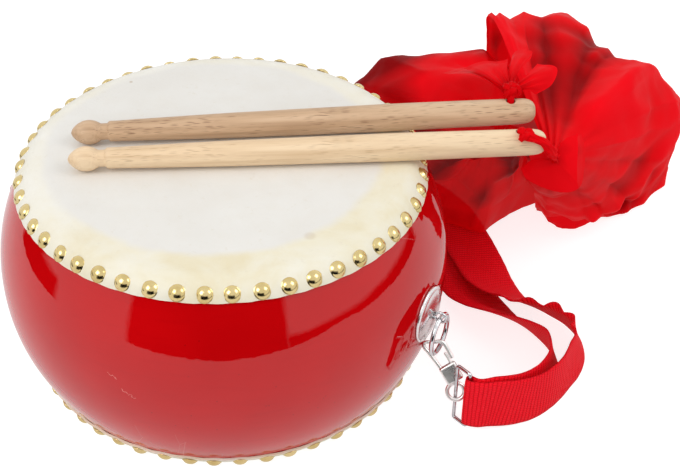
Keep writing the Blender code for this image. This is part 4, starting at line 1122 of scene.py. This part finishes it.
def stick_profile():
    """Bead tip, scribed neck, swelling shaft and rounded butt."""
    points = [(0.0, 0.0)]
    for i in range(1, 24):
        share = i / 24
        radius = BEAD_RADIUS * sin(pi * min(share, 0.97)) ** 0.6
        points.append((max(radius, NECK_RADIUS * 0.80) if share > 0.5 else radius,
                       BEAD_LENGTH * share))
    points += [(NECK_RADIUS * 0.80, 22.2), (NECK_RADIUS * 0.86, 22.6), (NECK_RADIUS * 0.98, 23.4),
               (NECK_RADIUS, NECK_END), (NECK_RADIUS + 0.02, 30.0)]
    middle = (NECK_RADIUS + STICK_RADIUS) / 2 + 0.3
    for along in range(40, 190, 15):
        if along < TAPER_BREAK:
            share = (along - NECK_END) / (TAPER_BREAK - NECK_END)
            radius = NECK_RADIUS + (middle - NECK_RADIUS) * share
        else:
            share = (along - TAPER_BREAK) / (STICK_WIDEST - TAPER_BREAK)
            radius = middle + (STICK_RADIUS - middle) * share
        points.append((radius, float(along)))
    points += [(STICK_RADIUS, STICK_WIDEST), (8.45, 215.0), (8.3, 240.0), (8.15, 265.0),
               (8.05, 276.0), (7.9, 279.5), (7.5, 282.0), (6.8, 284.0), (5.7, 285.5),
               (4.2, 286.5), (2.2, 286.9), (0.0, STICK_LENGTH)]
    return [(radius * MM, -along * MM) for radius, along in points]


def make_stick(name):
    """One stick on the head; returns the middle of the hole through its butt."""
    tip, angle, look, slot = STICKS[name]
    start = stick_point(tip, angle, 0.0)
    end = stick_point(tip, angle, STICK_LENGTH)
    turn = (start - end).to_track_quat("Z", "Y").to_matrix().to_4x4()
    made = piece("stick_turned_" + name, *lathe(stick_profile(), 56), look,
                 Matrix.Translation(start) @ turn)
    hole = stick_point(tip, angle, STICK_LENGTH - HOLE_FROM_BUTT)
    spots = [hole + UP * k * STICK_RADIUS * 2 * MM for k in (-1, 0, 1)]
    bore = piece("bore", *sweep(spots, HOLE_RADIUS * MM, 28), look)
    boolean_all(made, [("DIFFERENCE", bore)])
    settle(mark_sharp(made, 40.0), "stick_" + name, slot, "stick_" + name, look=look)
    return hole


HOLES = {name: make_stick(name) for name in STICKS}


# Silk cloths: rows of (crest, hem) of each fold, as in the part's source
NECKS = {"lower": Vector((179, 107, 130)) * MM, "upper": Vector((132, 134, 127)) * MM}
# The neck ring's first and last angle for each sheet, in degrees
TURNS = {"lower": (215, -100), "upper": (15, 352)}
FOLDS = {
    "lower": [
        ((73, 266, 119), (58, 330, 3)), ((88, 279, 123), (84, 350, 3)),
        ((100, 289, 123), (112, 357, 3)), ((117, 311, 119), (142, 359, 3)),
        ((152, 284, 118), (172, 352, 3)), ((192, 272, 108), (200, 338, 3)),
        ((208, 281, 92), (213, 316, 3)), ((217, 280, 72), (217, 294, 3)),
        ((216, 262, 50), (210, 264, 3)), ((207, 232, 37), (202, 241, 3)),
        ((192, 206, 30), (191, 232, 3)), ((175, 196, 32), (168, 229, 3)),
        ((157, 186, 40), (150, 225, 3)), ((150, 172, 60), (138, 222, 3)),
    ],
    "upper": [
        ((139, 206, 92), (126, 262, 3)), ((131, 218, 98), (112, 280, 3)),
        ((118, 226, 104), (96, 290, 3)), ((102, 234, 110), (84, 306, 3)),
        ((80, 230, 116), (56, 312, 3)), ((56, 212, 117), (30, 302, 3)),
        ((36, 192, 112), (-4, 282, 3)), ((20, 170, 100), (-44, 246, 3)),
        ((24, 156, 86), (-50, 204, 9)), ((54, 152, 76), (8, 172, 9)),
        ((88, 152, 70), (64, 165, 9)), ((112, 154, 72), (98, 165, 9)),
        ((124, 163, 74), (117, 167, 6)), ((132, 171, 80), (123, 193, 5)),
        ((141, 178, 80), (130, 213, 4)), ((145, 190, 84), (138, 224, 3)),
    ],
}
FOLD_STEPS, SHEET_ROWS, FLAP_ROWS = 16, 72, 32
NECK_RING, FLAP_GATHER, TWIST_RADIUS, STEM_RADIUS = 4.4 * MM, 2.0 * MM, 2.7 * MM, 2.2 * MM


def fold_curve(neck, crest, hem, share):
    """A point on the fold's line from the neck over its crest to its hem."""
    over = (hem - neck) * 0.5
    if share < 0.5:
        return hermite(neck, crest - neck, crest, over, share * 2)
    return hermite(crest, over, hem, (hem - crest) * 0.9, share * 2 - 1)


def between_folds(rows, place):
    """A point between folds: straight from one to the next, eased at each fold."""
    total = Vector()
    for step in (-0.18, 0.0, 0.0, 0.18):
        spot = min(max(place + step, 0.0), len(rows) - 1.0)
        i = min(int(spot), len(rows) - 2)
        total += rows[i].lerp(rows[i + 1], spot - i) / 4
    return total


def sheet_points(name):
    """The sheet's columns of points, before its small creases."""
    neck, folds = NECKS[name], FOLDS[name]
    first_turn, last_turn = TURNS[name]
    crests, hems = (in_mm(rows) for rows in zip(*folds))
    ahead = sum(hems, Vector()) / len(hems) - neck
    ahead = Vector((ahead.x, ahead.y, 0.0)).normalized()
    right = Vector((ahead.y, -ahead.x, 0.0))
    columns = []
    count = (len(folds) - 1) * FOLD_STEPS
    for c in range(count + 1):
        place = c / FOLD_STEPS
        crest = between_folds(crests, place)
        hem = between_folds(hems, place)
        turn = radians(first_turn + (last_turn - first_turn) * c / count)
        ring = cos(turn) * right + sin(turn) * UP
        start = neck + ahead * NECK_RING / 3 + ring * NECK_RING
        columns.append([fold_curve(start, crest, hem, r / SHEET_ROWS)
                        for r in range(SHEET_ROWS + 1)])
    return columns


def outer_side(columns):
    """1 where the sheet's normals point away from the drum's axis, else -1."""
    middle, half = len(columns) // 2, len(columns[0]) // 2
    sideways = columns[middle + 1][half] - columns[middle - 1][half]
    down = columns[middle][half + 1] - columns[middle][half - 1]
    outward = Vector((columns[middle][half].x, columns[middle][half].y, 0.0))
    return 1.0 if sideways.cross(down).dot(outward) > 0 else -1.0


# Creases, in millimetres of lift and waves to the metre
CRUMPLE, CRUMPLE_SCALE, FACET, FACET_SCALE, FULL_FOLD = 4.2, 12.0, 1.9, 31.0, 5.5
CREASE_REACH, LOWEST = 5, 0.8 * MM


def creased(columns, seed, rays, folds_across):
    """Sharp creases that run out from the neck and across, on a soft crumple.

    Returns the moved columns, and each point's fold: its lift as a share of a full fold.
    """
    rng = random.Random(seed)
    last_column, last_row = len(columns) - 1, len(columns[0]) - 1
    side = outer_side(columns)
    reach = [sum((b[r] - a[r]).length for a, b in zip(columns, columns[1:]))
             for r in range(last_row + 1)]
    marks = []
    for _ in range(rays):
        start = rng.uniform(-0.05, 0.40)
        marks.append((rng.uniform(0.0, 1.0), rng.uniform(-0.10, 0.10), start,
                      start + rng.uniform(0.40, 0.75), rng.choice((1, -1)) * rng.uniform(2.5, 7.0),
                      rng.uniform(4.0, 12.0)))
    lines = []
    for _ in range(folds_across):
        c = rng.uniform(0.05, 0.95)
        r = rng.uniform(0.25, 0.85)
        c2 = min(max(c + rng.uniform(-0.22, 0.22), 0.0), 1.0)
        r2 = min(max(r + rng.uniform(-0.30, 0.30), 0.15), 0.95)
        a = columns[round(c * last_column)][round(r * last_row)]
        b = columns[round(c2 * last_column)][round(r2 * last_row)]
        lines.append((a, b - a, rng.choice((1, 1, -1)) * rng.uniform(2.5, 6.5),
                      rng.uniform(5.0, 14.0)))
    result, folds = [], []
    for c, column in enumerate(columns):
        turn = c / last_column
        fresh = []
        for r, spot in enumerate(column):
            share = r / last_row
            sideways = columns[min(c + 1, last_column)][r] - columns[max(c - 1, 0)][r]
            normal = sideways.cross(step_at(column, r))
            normal = normal.normalized() if normal.length > 1e-12 else UP
            lift = 0.0
            for where, drift, start, end, depth, width in marks:
                part = (share - start) / (end - start)
                if 0.0 < part < 1.0:
                    off = abs(turn - where - drift * share) * reach[r] / MM
                    if off < width * CREASE_REACH:
                        lift += depth * exp(-off / width) * sin(pi * part) ** 0.6
            for a, way, depth, width in lines:
                part = (spot - a).dot(way) / max(way.length_squared, 1e-9)
                if -0.15 < part < 1.15:
                    off = (spot - a - way * part).length / MM
                    if off < width * CREASE_REACH:
                        fade = min(1.0, (part + 0.15) / 0.3, (1.15 - part) / 0.3)
                        lift += depth * exp(-off / width) * fade
            crumple = 0.6 - 2 * abs(noise.noise(spot * CRUMPLE_SCALE + Vector((seed, 0, 0))))
            facet = 0.5 - 2 * abs(noise.noise(spot * FACET_SCALE + Vector((0, 0, seed))))
            small = noise.noise(spot * 55.0 + Vector((0, seed, 0)))
            lift += (CRUMPLE * crumple + FACET * facet) * min(1.0, share * 2.0) + 0.45 * small
            neck_fold = cos(turn * 2 * pi * 11 + seed) * exp(-share * 7.0)
            lift = lift * min(1.0, share * 5.0) + 1.1 * neck_fold
            moved = spot + normal * lift * MM
            moved.z = max(moved.z, LOWEST)
            fresh.append(moved)
            # Fold value, from which the silk's material paints shade in hollows and a highlight on
            # ridges
            folds.append(side * lift / FULL_FOLD)
        result.append(fresh)
    return result, folds


def grid(columns):
    """Vertices and faces of a sheet from its columns of points."""
    rows = len(columns[0])
    verts = [spot for column in columns for spot in column]
    faces = []
    for c in range(len(columns) - 1):
        for r in range(rows - 1):
            a = c * rows + r
            faces.append((a, a + rows, a + rows + 1, a + 1))
    return verts, faces


def store_painted_fold_shade(made, tones):
    """Give each point its fold value: below 0 in a hollow, above 0 on a ridge; the silk's material
    paints shade and highlight from it.
    """
    values = made.data.attributes.new("fold", "FLOAT", "POINT").data
    for value, tone in zip(values, tones):
        value.value = tone
    return made


def flap_points(apex, outline, bulge, seed):
    """Columns and fold values of a flap that opens from its gathered apex to its outline; the fold
    values paint shade and highlight on the flap.
    """
    apex, *outline = in_mm([apex, *outline])
    edge = smooth_route(outline, 1.2 * MM)
    middle = sum(edge, Vector()) / len(edge)
    out = (edge[0] - apex).cross(edge[-1] - apex).normalized()
    if out.z < 0:
        out = -out
    columns, tones = [], []
    for c, end in enumerate(edge):
        turn = c / (len(edge) - 1)
        side = (end - middle).normalized() * FLAP_GATHER
        column = []
        for r in range(FLAP_ROWS + 1):
            share = r / FLAP_ROWS
            spot = (apex + side * (1 - share)).lerp(end, share)
            lift = bulge * sin(pi * min(1.0, share * 1.1) / 1.1)
            lift += 1.1 * cos(turn * 19 + seed) * exp(-share * 3.0)
            ridge = noise_at(turn * 5, share * 0.8, seed)
            lift += 1.6 * (1 - 2 * abs(ridge)) * share * (1.2 - share)
            column.append(spot + out * lift * MM)
            # Painted shade and highlight: darker near the apex, lighter towards the outline,
            # varied by the noise that shapes its ridges
            tones.append(0.7 * share - 0.35 + 0.5 * ridge)
        columns.append(column)
    return columns, tones


# The way out of each knot, and its flaps: (apex, outline, bulge), in millimetres
KNOTS = {"lower": Vector((164, 79, 161.2)) * MM, "upper": Vector((140.5, 117.5, 164.0)) * MM}
WAYS = {
    "lower": [(169.5, 78.5, 161.0), (175.5, 82.0, 157.0), (179.0, 89.0, 147.0)],
    "upper": [(138.0, 123.5, 164.0), (136.0, 130.0, 154.0), (134.0, 133.0, 141.0)],
}
FLAPS = {
    "lower": [
        ((180, 94, 138), [(188, 112, 149), (191, 107, 141), (193, 103, 132), (195, 101, 122),
                          (195, 102, 115), (186, 100, 111), (175, 97, 113), (165, 93, 119),
                          (160, 94, 125)], 5.0),
        ((180, 98, 134), [(184, 135, 134), (188, 134, 124), (191, 128, 112), (191, 122, 102),
                          (183, 115, 100), (172, 113, 104), (161, 116, 112), (153, 123, 121),
                          (150, 122, 130), (152, 118, 138)], 4.0),
        ((178, 108, 126), [(150, 134, 110), (146, 150, 84), (154, 164, 62), (168, 158, 66),
                           (180, 148, 80)], -9.0),
    ],
    "upper": [
        ((137, 122, 162), [(96, 153, 148), (104, 163, 150), (116, 160, 155), (124, 158, 160)],
         3.0),
        ((138, 122, 163), [(124, 163, 153), (124, 174, 158), (135, 172, 162), (139, 160, 164)],
         2.0),
        ((141, 121, 163), [(143, 158, 162), (156, 158, 163), (158, 145, 158), (152, 132, 156)],
         2.5),
        ((136, 124, 158), [(82, 152, 140), (88, 170, 136), (104, 172, 140), (118, 160, 148)],
         5.0),
    ],
}
KNOT_SIZE = {"lower": (1.25, 1.75), "upper": (1.45, 2.1)}


def make_cloth(name, look, seed, rays, across):
    """A silk cloth drawn through the stick's hole, knotted and fanned out."""
    hole, neck, top = HOLES[name], NECKS[name], KNOTS[name]

    def silk(part, *shape, tail=""):
        made = piece("silk_%s_%s%s" % (part, name, tail), *shape, look)
        return settle(made, "stick_" + name, "red_silk", "cloth_" + name)

    columns, folds = creased(sheet_points(name), seed, rays, across)
    sheet = store_painted_fold_shade(silk("sheet", *grid(columns)), folds)
    way = in_mm(WAYS[name])
    ahead = (way[-1] - neck).normalized()
    route = smooth_route([top, *way, neck - ahead * 4 * MM], 0.6 * MM)

    def folded(share, turn):
        ridges = 0.16 * cos(4 * turn + 22 * share) + 0.09 * cos(9 * turn - 13 * share)
        swell = 1.0 + 0.16 * sin(15 * share + seed)
        return TWIST_RADIUS * swell * (1 + ridges) * (1 + 1.1 * share ** 4)

    twist = silk("twist", *sweep(route, folded, 44))
    size, thickness = KNOT_SIZE[name]
    loops = []
    for t in turns(140):
        loops.append(top + Vector((
            (sin(t) + 2 * sin(2 * t)) * size,
            (cos(t) - 2 * cos(2 * t)) * size,
            -sin(3 * t) * 1.3 * size,
        )) * MM)

    def cord_folds(share, turn):
        return thickness * MM * (1 + 0.16 * cos(4 * turn + 60 * share))

    knot = silk("knot", *sweep(loops, cord_folds, 28, cyclic=True))
    stem_points = smooth_route([hole - UP * 8.9 * MM, hole, hole + UP * 8.6 * MM, top], 0.8 * MM)

    def stem_folds(_share, turn):
        return STEM_RADIUS * (1 + 0.08 * cos(6 * turn))

    stem = silk("stem", *sweep(stem_points, stem_folds, 28))
    extras = [twist, knot, stem]
    for i, plan in enumerate(FLAPS[name]):
        flap_columns, tones = flap_points(*plan, seed + i)
        flap = silk("flap", *grid(flap_columns), tail="_%d" % (i + 1))
        extras.append(store_painted_fold_shade(flap, tones))
    return sheet, extras, sum(face.area for face in sheet.data.polygons)


# Look, seed and the numbers of creases down and across
CLOTHS = {"upper": (SILK_UPPER, 2, 26, 16), "lower": (SILK_LOWER, 8, 26, 24)}
for cloth_name, cloth_plan in CLOTHS.items():
    cloth, cloth_parts, cloth_area = make_cloth(cloth_name, *cloth_plan)


# Floor, world and lights; places are as the viewer sees them, x right and y away
FLOOR_LEFT, FLOOR_RIGHT, FLOOR_FRONT, FLOOR_BACK = -0.60, 0.76, -0.54, 8.0
FLOOR_SEEN, FLOOR_MIRRORED, FLOOR_BOUNCED = 0.79, 0.50, 0.32
WORLD_LIGHT, DIMMED_SHARE = 0.68, 0.85
SOFT_EDGE, BELOW_ALL = 0.05, -1.5
AIM_HEIGHT = 0.07
# Dark parts of the wall: from one azimuth to another and up to a height, in degrees
OPENINGS = [(-43, 34, 24), (30, 116, -3), (-116, -80, -2)]


def make_floor():
    """White table top, that ends a little in front of the drum and beside it."""
    look = Look("floor_white", Roughness=0.9, Specular_IOR_Level=0.0)
    look.drift(look.place(), 3.0, 2.0, (0.45,) * 3, (0.47,) * 3)
    look.put(look.shader.inputs["Base Color"], look.colour)
    ray = look.node("LightPath").outputs
    direct = look.math("MAXIMUM", ray["Is Camera Ray"], ray["Is Transmission Ray"])
    mirrored = look.times(ray["Is Glossy Ray"], FLOOR_MIRRORED)
    bounced = look.math("MULTIPLY_ADD", ray["Is Diffuse Ray"], FLOOR_BOUNCED, mirrored)
    strength = look.math("MULTIPLY_ADD", direct, FLOOR_SEEN, bounced)
    glow = look.node("Emission", {"Color": (1, 1, 1, 1), "Strength": strength})
    look.surface(look.node("AddShader", {0: look.shader, 1: glow}))
    corners = [(FLOOR_LEFT, FLOOR_FRONT, 0), (FLOOR_RIGHT, FLOOR_FRONT, 0),
               (FLOOR_RIGHT, FLOOR_BACK, 0), (FLOOR_LEFT, FLOOR_BACK, 0)]
    verts = [TO_VIEWER @ Vector(corner) for corner in corners]
    piece("floor", verts, [(0, 1, 2, 3)], look.material)


def make_world():
    """White room with dark openings, which stay where they are."""
    world = bpy.data.worlds.new("surround")
    SCENE.world = world
    world.use_nodes = True
    world.node_tree.nodes.clear()
    net = Nodes(world.node_tree)
    turned = net.node("VectorRotate", {
        "Vector": net.node("TexCoord").outputs["Generated"], "Angle": -VIEW_TURN,
    }, rotation_type="Z_AXIS")
    x, y, height = net.node("SeparateXYZ", {"Vector": turned}).outputs
    azimuth = net.math("ARCTAN2", x, net.times(y, -1.0))

    def window(value, low, high):
        """1 between low and high, with a soft edge."""
        above = net.math("DIVIDE", net.math("SUBTRACT", value, low), SOFT_EDGE, clamp=True)
        below = net.math("DIVIDE", net.math("SUBTRACT", high, value), SOFT_EDGE, clamp=True)
        return net.times(above, below)

    def opening(first, last, top):
        """A dark part of the wall between two azimuths, below its top, in degrees."""
        across = window(azimuth, radians(first), radians(last))
        return net.times(across, window(height, BELOW_ALL, sin(radians(top))))

    dark = opening(*OPENINGS[0])
    for limits in OPENINGS[1:]:
        dark = net.math("MAXIMUM", dark, opening(*limits))
    ray = net.node("LightPath").outputs
    glossy = ray["Is Glossy Ray"]
    shown = net.math("ADD", glossy, net.times(ray["Is Diffuse Ray"], DIMMED_SHARE))
    dark = net.times(dark, shown)
    seen = net.math("MAXIMUM", ray["Is Camera Ray"], glossy)
    seen = net.math("MAXIMUM", seen, ray["Is Transmission Ray"])
    plain = net.math("ADD", net.times(seen, 1.0 - WORLD_LIGHT), WORLD_LIGHT)
    strength = net.times(plain, net.math("SUBTRACT", 1.0, dark, clamp=True))
    background = net.node("Background", {"Color": (1, 1, 1, 1), "Strength": strength})
    net.node("OutputWorld", {"Surface": background})


def make_light(name, place, aim, width, depth, power, in_gloss=True):
    """A soft box that faces the point aimed at."""
    data = bpy.data.lights.new(name, "AREA")
    data.shape = "RECTANGLE"
    data.size, data.size_y = width, depth
    data.energy = power
    spot = TO_VIEWER @ Vector(place)
    turn = (spot - TO_VIEWER @ Vector((*aim, AIM_HEIGHT))).to_track_quat("Z", "Y")
    made = add_object(name, data, Matrix.Translation(spot) @ turn.to_matrix().to_4x4())
    made.visible_glossy = in_gloss


make_floor()
make_world()
make_light("key", (-1.0, -0.8, 1.35), (0.0, 0.0), 0.9, 0.9, 9.0)
make_light("front", (-0.1, -1.5, 0.9), (0.05, 0.0), 1.0, 0.8, 4.5, in_gloss=False)
make_light("fill", (1.2, -0.2, 1.3), (0.05, 0.0), 0.8, 0.8, 5.5)

SCENE.view_settings.view_transform = "Standard"
